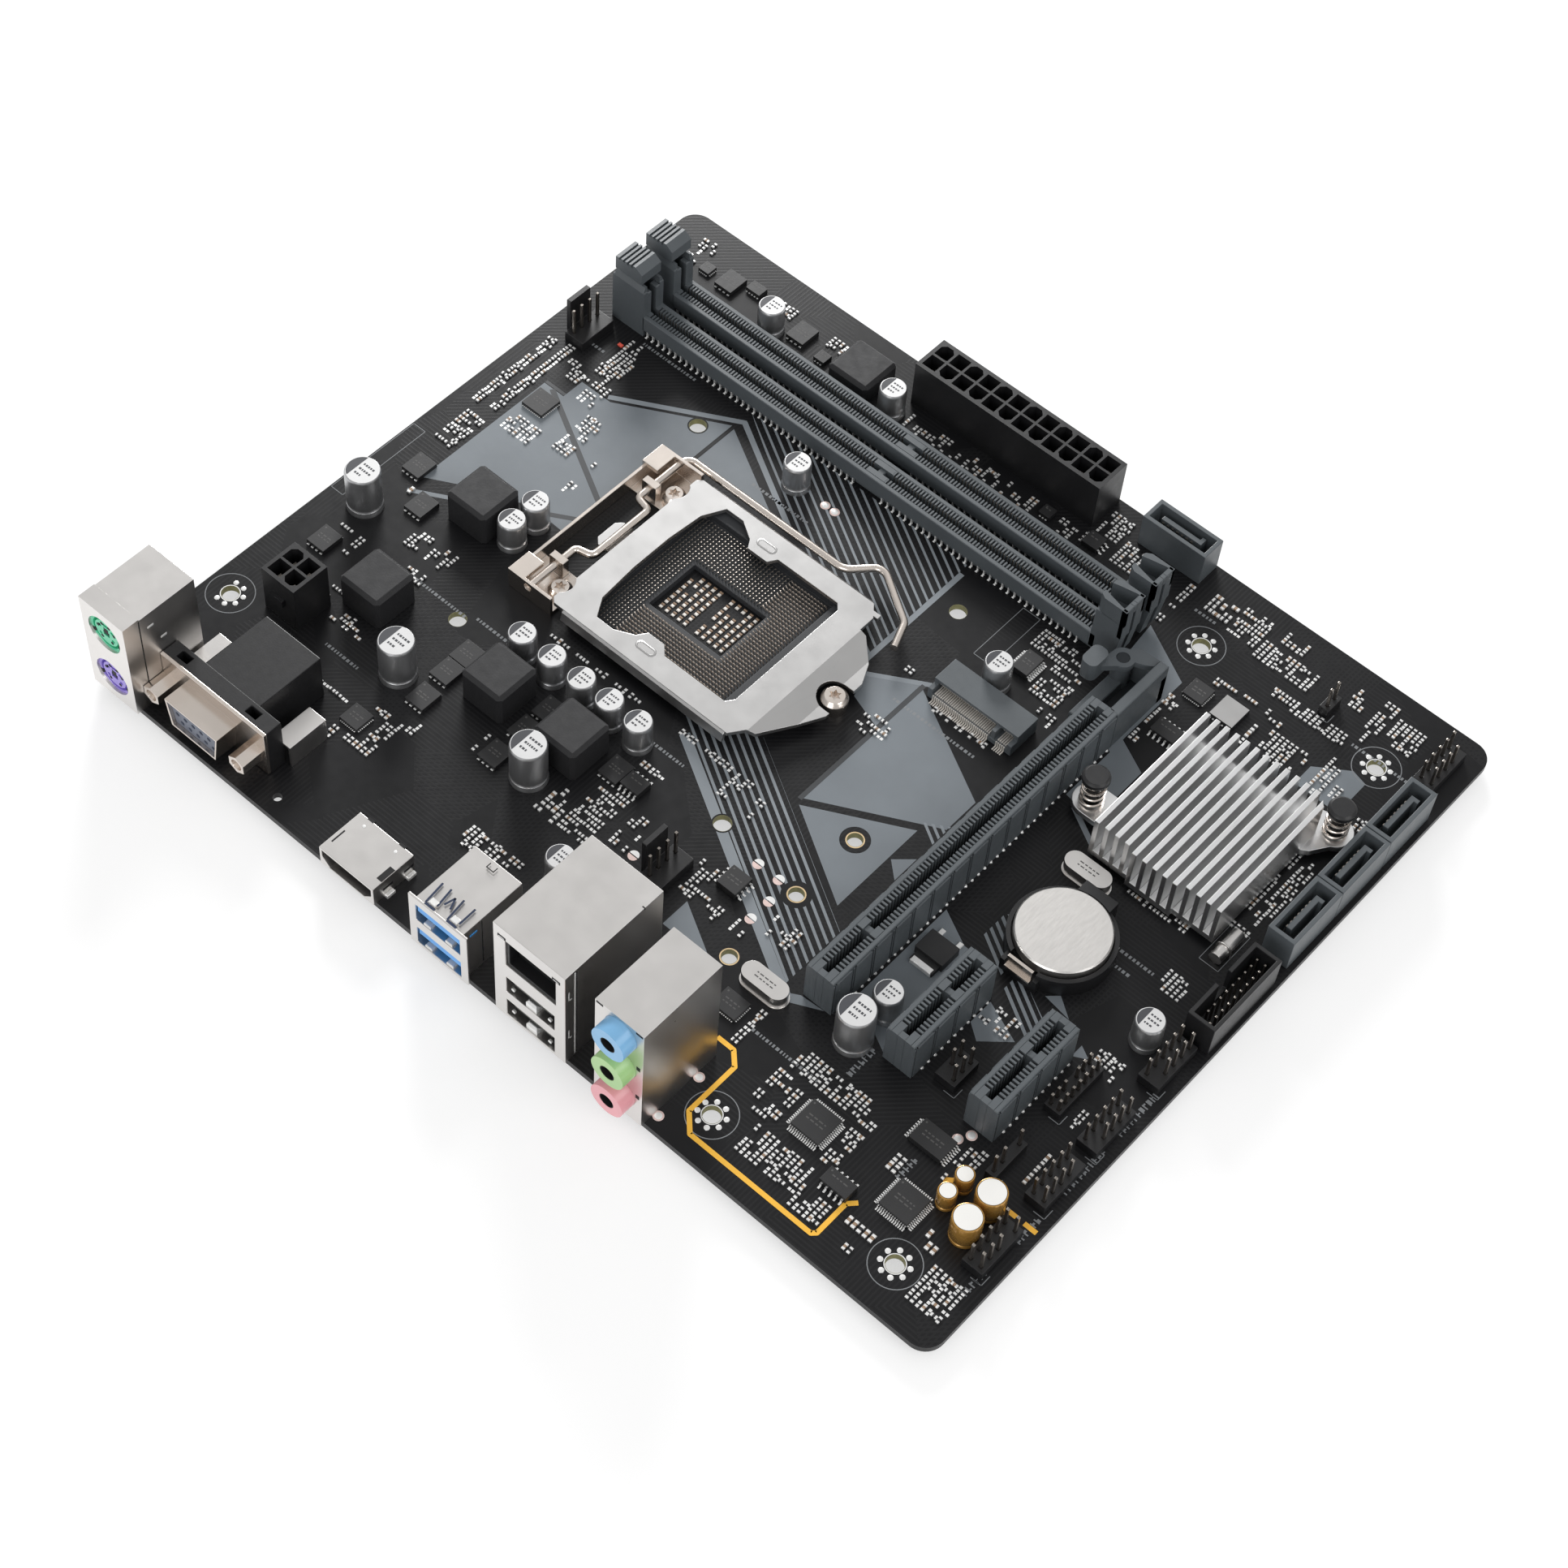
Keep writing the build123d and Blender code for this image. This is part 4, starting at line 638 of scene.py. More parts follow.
# Each patch: x0, x1, y0, y1, size, upright, share of places filled, share of ceramic parts
PATCHES = [
    (-2.5, 1.0, 74.0, 101.0, "s", True, 0.75, 0.2), (2.0, 5.0, 75.0, 102.0, "s", True, 0.8, 0.35),
    (-0.5, 6.5, 60.5, 72.5, "s", False, 0.7, 0.2), (8.0, 13.0, 93.0, 97.0, "s", True, 0.8, 0.2),
    (4.0, 10.0, 96.5, 99.5, "s", True, 0.8, 0.3), (11.5, 18.5, 95.0, 112.5, "s", True, 0.55, 0.25),
    (14.0, 19.5, 90.0, 98.0, "s", True, 0.6, 0.2), (7.5, 17.0, 72.5, 79.5, "s", True, 0.75, 0.4),
    (20.0, 26.0, 76.0, 90.0, "s", True, 0.75, 0.3), (30.0, 33.5, 68.5, 81.0, "s", True, 0.35, 0.2),
    (6.5, 9.0, 45.0, 53.0, "m", True, 0.6, 0.6), (16.0, 28.5, 34.5, 40.5, "s", True, 0.5, 0.4),
    (3.0, 12.0, 22.5, 30.0, "s", False, 0.35, 0.3), (22.0, 28.0, 28.0, 32.5, "s", True, 0.6, 0.3),
    (12.0, 33.0, 9.5, 18.0, "s", False, 0.28, 0.3), (43.5, 54.5, 5.0, 28.0, "s", False, 0.35, 0.2),
    (64.5, 69.0, 6.0, 27.5, "s", True, 0.4, 0.3), (84.0, 90.0, 4.0, 14.0, "m", True, 0.6, 0.2),
    (90.0, 98.5, 4.5, 21.0, "s", False, 0.8, 0.25), (92.0, 98.5, 25.0, 30.5, "s", True, 0.85, 0.35),
    (100.0, 105.0, 9.0, 20.0, "s", True, 0.4, 0.2), (78.0, 93.0, -12.0, -6.0, "s", True, 0.55, 0.3),
    (29.0, 42.0, -12.0, -1.5, "s", False, 0.5, 0.3), (40.0, 52.0, -10.0, 1.5, "s", True, 0.5, 0.3),
    (44.0, 54.0, 0.0, 4.0, "s", True, 0.25, 0.1), (87.5, 108.0, 38.2, 39.6, "s", True, 0.6, 0.1),
    (56.0, 82.0, 38.0, 39.4, "s", False, 0.45, 0.1), (117.0, 122.5, 10.0, 21.0, "s", True, 0.75, 0.3),
    (119.5, 129.0, 9.5, 14.0, "s", False, 0.7, 0.2), (136.5, 144.0, 14.0, 21.0, "s", True, 0.5, 0.2),
    (117.0, 125.0, 64.5, 71.5, "s", False, 0.5, 0.2), (126.5, 143.0, 78.8, 80.4, "s", True, 0.7, 0.3),
    (115.5, 118.0, 83.0, 86.0, "s", True, 0.4, 0.2), (130.5, 147.0, 97.0, 113.0, "s", False, 0.6, 0.2),
    (142.5, 147.5, 92.0, 97.0, "s", True, 0.5, 0.2), (120.0, 128.0, 137.5, 150.0, "s", True, 0.6, 0.3),
    (128.5, 136.0, 136.5, 144.0, "s", True, 0.6, 0.3), (145.5, 149.0, 129.5, 148.0, "s", False, 0.5, 0.2),
    (151.5, 158.5, 140.2, 146.4, "m", False, 0.95, 0.9), (158.5, 166.5, 139.0, 148.0, "s", False, 0.75, 0.4),
    (166.5, 182.0, 137.5, 143.5, "s", True, 0.8, 0.3), (169.0, 176.0, 144.5, 148.5, "s", True, 0.6, 0.3),
    (181.0, 195.0, 131.0, 136.0, "s", True, 0.7, 0.3), (189.0, 193.5, 141.0, 148.0, "s", True, 0.5, 0.3),
    (195.0, 199.0, 135.0, 148.5, "s", True, 0.6, 0.3), (199.5, 207.5, 138.5, 147.5, "s", True, 0.9, 0.2),
    (175.5, 183.0, 132.0, 134.5, "s", False, 0.7, 0.3), (160.0, 164.0, 114.0, 126.0, "s", False, 0.7, 0.6),
    (165.0, 172.0, 125.5, 128.5, "s", False, 0.6, 0.4), (170.0, 183.0, 126.0, 129.5, "s", False, 0.7, 0.5),
    (176.5, 180.0, 117.0, 125.5, "m", True, 0.7, 0.8), (181.5, 189.0, 117.5, 125.0, "s", True, 0.75, 0.2),
    (189.5, 193.0, 118.0, 127.0, "s", True, 0.45, 0.2), (195.0, 199.0, 117.0, 128.5, "s", True, 0.8, 0.2),
    (199.5, 206.0, 119.0, 124.5, "s", True, 0.5, 0.2), (201.5, 206.0, 84.0, 108.0, "s", False, 0.6, 0.3),
    (206.0, 210.0, 83.0, 104.0, "s", True, 0.6, 0.3), (208.0, 210.5, 114.0, 122.0, "s", True, 0.4, 0.2),
    (160.5, 163.0, 102.0, 113.5, "s", True, 0.7, 0.4), (184.0, 200.0, 71.5, 76.5, "s", False, 0.55, 0.2),
    (190.0, 199.0, 78.0, 82.0, "s", True, 0.6, 0.2), (202.5, 211.0, 79.5, 83.0, "s", True, 0.7, 0.2),
    (174.5, 179.0, 76.5, 81.0, "s", True, 0.5, 0.1), (184.5, 187.0, 65.0, 70.0, "s", True, 0.4, 0.1),
    (201.5, 208.5, 58.0, 64.0, "s", True, 0.55, 0.2), (203.0, 210.0, 34.5, 41.5, "s", True, 0.75, 0.2),
    (181.0, 189.0, 28.0, 34.0, "s", True, 0.25, 0.2), (208.5, 210.5, 22.0, 28.0, "s", False, 0.9, 0.1),
    (209.5, 211.0, 4.0, 16.0, "m", True, 0.8, 0.9), (200.0, 203.5, 2.0, 8.0, "s", False, 0.7, 0.2),
    (138.0, 146.5, 0.6, 2.4, "s", True, 0.7, 0.3), (147.0, 151.5, -8.5, 1.5, "s", False, 0.5, 0.3),
    (161.0, 180.0, -5.0, 1.0, "s", True, 0.55, 0.3), (160.0, 168.5, -17.0, -6.0, "s", False, 0.45, 0.4),
    (165.0, 181.0, -25.5, -17.5, "s", True, 0.65, 0.3), (178.5, 184.0, -17.5, -1.0, "s", False, 0.55, 0.2),
    (180.0, 188.0, -27.5, -19.5, "s", True, 0.85, 0.3), (189.0, 198.5, -23.0, -19.0, "m", True, 0.8, 1.0),
    (188.5, 192.0, -9.0, -4.5, "m", True, 0.5, 0.8), (200.5, 209.0, -17.0, -11.0, "m", True, 0.6, 1.0),
    (208.5, 217.5, -27.0, -16.0, "s", True, 0.8, 0.2), (196.5, 200.5, -5.5, 6.0, "s", True, 0.45, 0.2),
    (147.5, 153.0, -30.5, -12.0, "s", False, 0.35, 0.1), (191.0, 198.0, -27.5, -25.0, "s", True, 0.3, 0.8),
    (27.0, 34.0, 139.0, 146.0, "s", True, 0.5, 0.3), (2.0, 8.0, 130.5, 148.0, "s", True, 0.4, 0.3),
    (41.0, 50.0, 131.5, 146.0, "s", True, 0.35, 0.3), (60.0, 66.0, 131.5, 146.0, "s", True, 0.4, 0.3),
    (70.0, 119.0, 131.8, 139.5, "s", True, 0.3, 0.4), (101.0, 107.0, -12.0, -2.0, "s", True, 0.3, 0.3),
    (131.5, 136.5, 10.0, 14.5, "s", True, 0.4, 0.2), (108.0, 118.0, 30.5, 41.0, "s", True, 0.22, 0.1),
]


def scatter_passives():
    build = Build()
    for x0, x1, y0, y1, size, upright, filled, ceramic in PATCHES:
        length, width = SIZES[size][:2]
        step_x, step_y = (width + 0.6, length + 0.55) if upright else (length + 0.55, width + 0.6)
        columns = max(1, int((x1 - x0) / step_x))
        rows = max(1, int((y1 - y0) / step_y))
        for i in range(columns):
            for j in range(rows):
                if rng.random() > 0.35 + 0.65 * filled:
                    continue
                turned = upright if rng.random() < 0.88 else not upright
                roll = rng.random()
                kind = "c" if roll < ceramic * 0.7 else ("pad" if roll > 0.8 else "r")
                passive(build, x0 + (i + 0.5) * step_x, y0 + (j + 0.5) * step_y, size, turned, kind)
    make(build, "small_parts", [SOLDER, MLCC, RESISTOR])


# ---------------------------------------------------------------- chips
def edge_rows(build, box, sides, pitch, margin, steps, width, ease=0.0):
    """Rows of small boxes along a package's sides; steps are (start, stop, z0, z1) outwards."""
    (x0, y0, _), (x1, y1, _) = box
    for side in sides:
        along_x = side in "NS"
        low, high = (x0, x1) if along_x else (y0, y1)
        count = int((high - low - margin) / pitch) + 1
        first = (low + high) / 2 - (count - 1) * pitch / 2
        sign = 1 if side in "NE" else -1
        edge = {"N": y1, "S": y0, "E": x1, "W": x0}[side]
        for k in range(count):
            p = first + k * pitch
            for start, stop, z0, z1 in steps:
                e0, e1 = sorted((edge + sign * start, edge + sign * stop))
                if along_x:
                    build.box(p - width / 2, p + width / 2, e0, e1, z0, z1, 0, ease)
                else:
                    build.box(e0, e1, p - width / 2, p + width / 2, z0, z1, 0, ease)


def gull_leads(build, box, sides, pitch, width, reach):
    """Bent leads round a package: out of the body, down, and flat on the board."""
    mid = box[0][2] + (box[1][2] - box[0][2]) * 0.45
    steps = ((-0.1, reach * 0.38, mid - 0.07, mid + 0.07),
             (reach * 0.28, reach * 0.45, TOP + 0.02, mid + 0.07),
             (reach * 0.35, reach, TOP, TOP + 0.14))
    edge_rows(build, box, sides, pitch, 0.5, steps, width)


def flat_pads(build, box, sides, pitch, width, reach):
    """Solder fillets at the foot of a leadless package."""
    edge_rows(build, box, sides, pitch, 0.6, ((-0.02, reach, TOP, TOP + 0.22),), width, 0.08)


def dashes(build, x0, x1, y, z, mat, gap=0.35, height=0.3, low=0.4, high=1.0):
    """A line of generic marks that stands for print without any lettering."""
    x = x0
    while x < x1 - 0.3:
        length = min(low + rng.random() * (high - low), x1 - x)
        build.box(x, x + length, y - height / 2, y + height / 2, z - 0.02, z + 0.008, mat)
        x += length + gap


def chips():
    build = Build()
    for box in solids("ic_packages"):
        low, high = box
        wide, deep = high[0] - low[0], high[1] - low[1]
        tall = high[2] - low[2]
        if wide == deep == 7.0 or min(wide, deep) > 6.4:
            gull_leads(build, box, "NSEW", 0.5, 0.26, 1.05)
        elif abs(wide - 7.8) < 0.1:
            gull_leads(build, box, "EW", 0.65, 0.3, 1.1)
        elif tall > 1.2:
            gull_leads(build, box, "EW" if deep >= wide else "NS", 1.27 if deep < 6 else 0.65, 0.42, 1.1)
        elif tall > 0.95 and wide < 6.2:
            flat_pads(build, box, "NS", 0.8, 0.4, 0.3)
        else:
            flat_pads(build, box, "NSEW", 0.5, 0.26, 0.25)
        for row in range(2 if deep > 4 else 1):
            dashes(build, low[0] + wide * 0.2, high[0] - wide * 0.2,
                   (low[1] + high[1]) / 2 + 0.45 - row * 0.9, high[2], 1)
        build.lathe(low[0] + 0.7, high[1] - 0.7, [(0.22, high[2] - 0.02), (0.22, high[2] + 0.006)], 1, 16)
    for box in solids("power_transistors"):
        low, high = box
        if high[0] - low[0] > 6:
            build.box(162.9, 168.1, 29.0, 30.4, TOP, TOP + 1.25, 0, 0.15)
            for k in range(2):
                x = 163.2 + k * 4.6
                build.box(x - 0.55, x + 0.55, 36.9, 39.4, TOP, TOP + 0.5, 0, 0.15)
            continue
        flat_pads(build, box, "NS", 1.27, 0.62, 0.34)
        dashes(build, low[0] + 0.9, high[0] - 0.9, (low[1] + high[1]) / 2 + 0.4, high[2], 1)
        dashes(build, low[0] + 0.9, high[0] - 0.9, (low[1] + high[1]) / 2 - 0.4, high[2], 1)
        build.lathe(low[0] + 0.7, high[1] - 0.7, [(0.25, high[2] - 0.02), (0.25, high[2] + 0.006)], 1, 16)
    make(build, "chip_leads_and_marks", [SOLDER, MARK])


# ---------------------------------------------------------------- capacitors, crystals, chokes
def arc_points(x, y, r, a0, a1, steps):
    return [(x + r * cos(a0 + (a1 - a0) * i / steps), y + r * sin(a0 + (a1 - a0) * i / steps))
            for i in range(steps + 1)]


def polymer_capacitors():
    build = Build()
    for box in solids("capacitors"):
        x, y = centre(box)
        top = box[1][2]
        r = (box[1][0] - box[0][0]) / 2 - 0.15
        foot = [(r - 0.3, TOP), (r + 0.14, TOP + 0.05), (r + 0.14, TOP + 0.65), (r + 0.02, TOP + 0.95)]
        groove = [(r, TOP + 1.35), (r - 0.2, TOP + 1.6), (r - 0.24, TOP + 1.85), (r - 0.05, TOP + 2.15),
                  (r, TOP + 2.4)]
        shoulder = [(r, top - 0.75), (r - 0.08, top - 0.4), (r - 0.24, top - 0.16), (r - 0.42, top - 0.12)]
        build.lathe(x, y, foot + groove + shoulder, 0, 48)
        build.lathe(x, y, [(r - 0.3, top - 0.2), (r - 0.32, top - 0.05)], 1, 48)
        edge = r * 0.42
        turn = atan2((r * r * 0.985 - edge * edge) ** 0.5, edge)
        half = arc_points(x, y, r - 0.45, pi - turn, pi + turn, 20)
        build.prism(half, top - 0.1, top - 0.03, 2)
        for row in range(3):
            wide = r * (0.85 if row != 2 else 0.55)
            dashes(build, x - edge * 0.55, x - edge * 0.55 + wide, y + (1 - row) * r * 0.36,
                   top - 0.035, 2, 0.22, r * 0.13, 0.3, 0.6)
    make(build, "polymer_capacitors", [CAN, CAN_TOP, PRINT_DARK], stands_for=("capacitors",))


def sleeved_capacitors():
    build = Build()
    for box in solids("audio_capacitors"):
        x, y = centre(box)
        top = box[1][2]
        r = (box[1][0] - box[0][0]) / 2 - 0.15
        build.lathe(x, y, [(r - 0.2, TOP), (r, TOP + 0.15), (r, TOP + 0.8), (r - 0.16, TOP + 1.0),
                           (r, TOP + 1.3), (r, top - 0.35), (r - 0.1, top - 0.1), (r - 0.3, top)], 0, 44)
        build.ring(x, y, top - 0.05, top + 0.0, r - 0.42, r - 0.25, 0, 44)
        build.lathe(x, y, [(r - 0.36, top - 0.1), (r - 0.4, top + 0.015)], 1, 44)
    make(build, "sleeved_capacitors", [SLEEVE, CAP_WHITE], stands_for=("audio_capacitors",))


def capsule(x, y, half_length, r, z, steps=14):
    right = [(px, py, z) for px, py in arc_points(x + half_length - r, y, r, -pi / 2, pi / 2, steps)]
    left = [(px, py, z) for px, py in arc_points(x - half_length + r, y, r, pi / 2, 3 * pi / 2, steps)]
    return right + left


def crystal_details():
    """Flange at the foot of each can, and the strap over the small watch crystal."""
    build = Build()
    for box in solids("crystals"):
        low, high = box
        x, y = centre(box)
        if high[0] - low[0] > 6:
            half, r = (high[0] - low[0]) / 2, (high[1] - low[1]) / 2
            build.loft([capsule(x, y, half + 0.28, r + 0.28, z) for z in (TOP + 0.05, TOP + 0.5)], 0)
            for row in range(2):
                dashes(build, x - 2.4, x + 2.4, y + 0.45 - row * 0.9, high[2], 1, 0.3, 0.28)
        else:
            r = (high[0] - low[0]) / 2
            arc = [(x + (r + 0.22) * cos(a), y - 1.0, TOP + r + (r + 0.22) * sin(a))
                   for a in [radians(-10 + 200 * k / 12) for k in range(13)]]
            build.tube([(x + r + 0.25, y - 1.0, TOP)] + arc + [(x - r - 0.25, y - 1.0, TOP)], 0.22, 0)
            for s in (-0.5, 0.5):
                build.tube([(x + s, high[1] - 0.3, TOP + r), (x + s * 1.4, high[1] + 0.9, TOP + r),
                            (x + s * 1.4, high[1] + 1.5, TOP + 0.1)], 0.16, 0)
    make(build, "crystal_details", [TIN, MARK])


# ---------------------------------------------------------------- slots
def comb_slot(put, u0, u1, keys, half, base, top, pitch, pocket, blade):
    """Card slot along u: outer rails, teeth between contact pockets, springs in the pockets.
    put(u0, u1, v0, v1, z0, z1, mat, ease) adds a box; v is across, from the slot's middle."""
    inner, reach = pocket
    solid = [(u0, keys[0][0])]
    for (_, before), (after, _) in zip(keys, keys[1:]):
        solid.append((before, after))
    solid.append((keys[-1][1], u1))
    for side in (-1, 1):
        put(u0, u1, side * reach, side * half, base, top, 0, 0.16)
        for a, b in solid:
            put(a, b, side * inner, side * (reach + 0.02), base, top, 0, 0.0)
        for a, b in keys:
            count = round((b - a) / pitch)
            step = (b - a) / count
            for k in range(count):
                p = a + (k + 0.5) * step
                put(p - step * 0.5, p - step * 0.04, side * inner, side * (reach + 0.02),
                    base, top - 0.05, 0, 0.0)
                put(p + step * 0.06, p + step * 0.4, side * (inner + blade), side * (reach - 0.15),
                    base, top - 0.75, 1, 0.12)
    # darker slate floor down the slot's channel, painted shade
    put(u0 + 0.5, u1 - 0.5, -inner - 0.1, inner + 0.1, base, base + 1.4, 2, 0.0)


def along_x(build, yc):
    def put(u0, u1, v0, v1, z0, z1, mat, ease):
        a, b = sorted((v0, v1))
        build.box(u0, u1, yc + a, yc + b, z0, z1, mat, ease)
    return put


def along_y(build, xc):
    def put(u0, u1, v0, v1, z0, z1, mat, ease):
        a, b = sorted((v0, v1))
        build.box(xc + a, xc + b, u0, u1, z0, z1, mat, ease)
    return put


DIMM_KEYS = [(12.9, 77.2), (82.4, 139.4)]      # contact spans on both sides of the key
DIMM_X0, DIMM_X1 = 12.2, 141.6
DIMM_HALF = 3.2
DIMM_BASE, DIMM_TOP = 3.8, 7.8
TAIL_PITCH = 1.7
CARD_SLOTS = [(156.05, 98.1), (176.4, 34.1), (196.7, 34.1)]      # middle x and far end of each


def memory_slots():
    build = Build()
    for latch in ("dimm_latch_a", "dimm_latch_b"):
        yc = (span(latch)[0][1] + span(latch)[1][1]) / 2
        put = along_x(build, yc)
        comb_slot(put, DIMM_X0, DIMM_X1, DIMM_KEYS, DIMM_HALF, DIMM_BASE, DIMM_TOP, 0.85, (0.75, 2.1), 0.25)
        put(12.2, 144.8, -2.0, 2.0, TOP, 3.85, 0, 0.0)
        put(79.1, 80.7, -0.8, 0.8, 3.8, 7.3, 0, 0.15)
        for side in (-1, 1):                                   # latch tower
            put(2.9, 12.4, side * 2.02, side * 3.2, TOP, 15.2, 0, 0.15)
            build.prism_x([(yc + side * 3.2, 15.1), (yc + side * 2.02, 15.1), (yc + side * 2.02, 16.6),
                           (yc + side * 2.6, 16.6)], 3.4, 12.2, 0)
            put(10.4, 12.4, side * 0.8, side * 2.05, 3.8, 14.6, 0, 0.2)
        put(2.9, 12.4, -2.1, 2.1, TOP, 2.4, 0, 0.0)
        for side in (-1, 1):                                   # end post, open at the top
            build.prism_y([(140.4, 3.8), (146.6, 3.8), (147.6, 12.0), (147.6, 16.0), (140.6, 16.0),
                           (140.4, 9.0)], *sorted((yc + side * 0.8, yc + side * 3.2)), mat=0)
            build.prism([(140.7, yc + side * 1.2), (142.6, yc + side * 1.7), (146.2, yc + side * 2.5),
                         (147.8, yc + side * 2.5), (147.8, yc + side * 3.2), (142.0, yc + side * 3.2),
                         (140.7, yc + side * 2.4)], 15.9, 20.8, 0)
        # darker slate fill inside the open end post, painted shade
        build.prism_y([(143.2, 3.8), (146.4, 3.8), (147.0, 12.0), (147.0, 15.9), (143.2, 15.9)],
                      yc - 0.85, yc + 0.85, 2)
        build.box(146.6, 147.8, yc - 3.2, yc - 0.5, 11.8, 20.8, 0, 0.15)
        build.box(146.6, 147.8, yc + 0.5, yc + 3.2, 11.8, 20.8, 0, 0.15)
        build.box(146.6, 147.8, yc - 0.6, yc + 0.6, 18.6, 20.8, 0, 0.15)
        for a, b in DIMM_KEYS:                                 # solder tails under the walls
            count = int((b - a) / TAIL_PITCH)
            for k in range(count):
                x = a + 0.4 + k * TAIL_PITCH
                for side in (-1, 1):
                    build.box(x - 0.26, x + 0.26, yc + side * 2.85 - 0.45, yc + side * 2.85 + 0.35,
                              TOP, TOP + 0.28, 3, 0.12)
                    build.box(x - 0.16, x + 0.16, yc + side * 2.55 - 0.3, yc + side * 2.55 + 0.3,
                              TOP + 0.1, 3.85, 3, 0.0)
    make(build, "memory_slot_bodies", [SLATE, CONTACT, SHADE_SLATE, SOLDER],
         stands_for=("dimm_slots", "dimm_contacts"))


SLOT_HALF = 3.65
SLOT_KEY_GAP = (22.6, 24.8)


def side_ribs(put, u0, u1):
    """Outer skins of a slot in panels with slanting gaps between them."""
    count = round((u1 - u0) / 5.8)
    step = (u1 - u0) / count
    for k in range(count):
        for side in (-1, 1):
            put(u0 + k * step + 0.55, u0 + (k + 1) * step - 0.55, side * (SLOT_HALF - 0.3), side * SLOT_HALF,
                TOP, 12.3, 0, 0.3)
            put(u0 + k * step, u0 + k * step + 0.3, side * (SLOT_HALF - 0.3), side * (SLOT_HALF - 0.1),
                TOP, 12.0, 0, 0.1)


def expansion_slots():
    build = Build()
    long_end = CARD_SLOTS[0][1]
    for x, end in CARD_SLOTS:
        put = along_y(build, x)
        keys = [(11.6, SLOT_KEY_GAP[0]), (SLOT_KEY_GAP[1], end - 2.2)]
        comb_slot(put, 9.1, end, keys, SLOT_HALF - 0.28, TOP, 12.85, 1.0, (0.85, 2.35), 0.3)
        put(9.1, 10.5, -0.9, 0.9, TOP, 12.85, 0, 0.0)
        put(end - 1.4, end, -0.9, 0.9, TOP, 12.85, 0, 0.0)
        put(23.0, 24.4, -0.9, 0.9, TOP, 12.4, 0, 0.15)
        side_ribs(put, 9.1, end)
        for k in range(int((end - 14) / 2.0) + 1):
            y = 12.4 + 2.0 * k
            for side in (-1, 1):
                build.lathe(x + side * 3.6, y, [(0.42, TOP), (0.34, TOP + 0.2), (0.16, TOP + 0.34)], 3, 10)
    # open-ended frame past the long slot, where the card retainer turns
    build.box(157.4, 159.7, long_end - 0.4, 115.0, TOP, 12.85, 0, 0.2)
    build.box(151.2, 159.7, 113.2, 115.0, TOP, 9.8, 0, 0.2)
    build.box(149.3, 152.6, 96.0, 115.0, TOP, 6.0, 0, 0.2)
    # darker slate floor inside the open frame, painted shade
    build.box(152.5, 157.5, long_end - 0.3, 113.3, TOP, 3.4, 2, 0.0)
    pivot_x, pivot_y = 150.9, 111.0
    build.lathe(pivot_x, pivot_y, [(2.1, TOP), (2.1, 9.8)], 0, 32)
    build.lathe(pivot_x, pivot_y, [(1.4, TOP), (1.4, 11.5)], 2, 32)
    make(build, "expansion_slot_bodies", [SLATE, CONTACT, SHADE_SLATE, SOLDER],
         stands_for=("pcie_x16_slot", "pcie_x1_slots", "pcie_contacts"))


def storage_connector():
    """Contact rows of the storage card connector, in its mouth and at its foot."""
    build = Build()
    (x0, y0, _), (x1, _, _) = span("m2_connector")
    x = x0 + 1.6
    while x < x1 - 1.6:
        if not 139.9 < x < 141.9:
            build.box(x - 0.15, x + 0.15, y0 + 0.5, y0 + 5.2, TOP + 1.3, TOP + 1.75, 0, 0.05)
            build.box(x - 0.15, x + 0.15, y0 + 2.2, y0 + 5.2, TOP + 3.3, TOP + 3.68, 0, 0.05)
            build.box(x - 0.15, x + 0.15, y0 - 1.3, y0 + 0.3, TOP, TOP + 0.2, 0, 0.05)
            build.box(x - 0.15, x + 0.15, y0 - 0.2, y0 + 0.1, TOP, TOP + 1.6, 0, 0.0)
        x += 0.5
    make(build, "storage_contacts", [PAD], stands_for=("m2_contacts",))


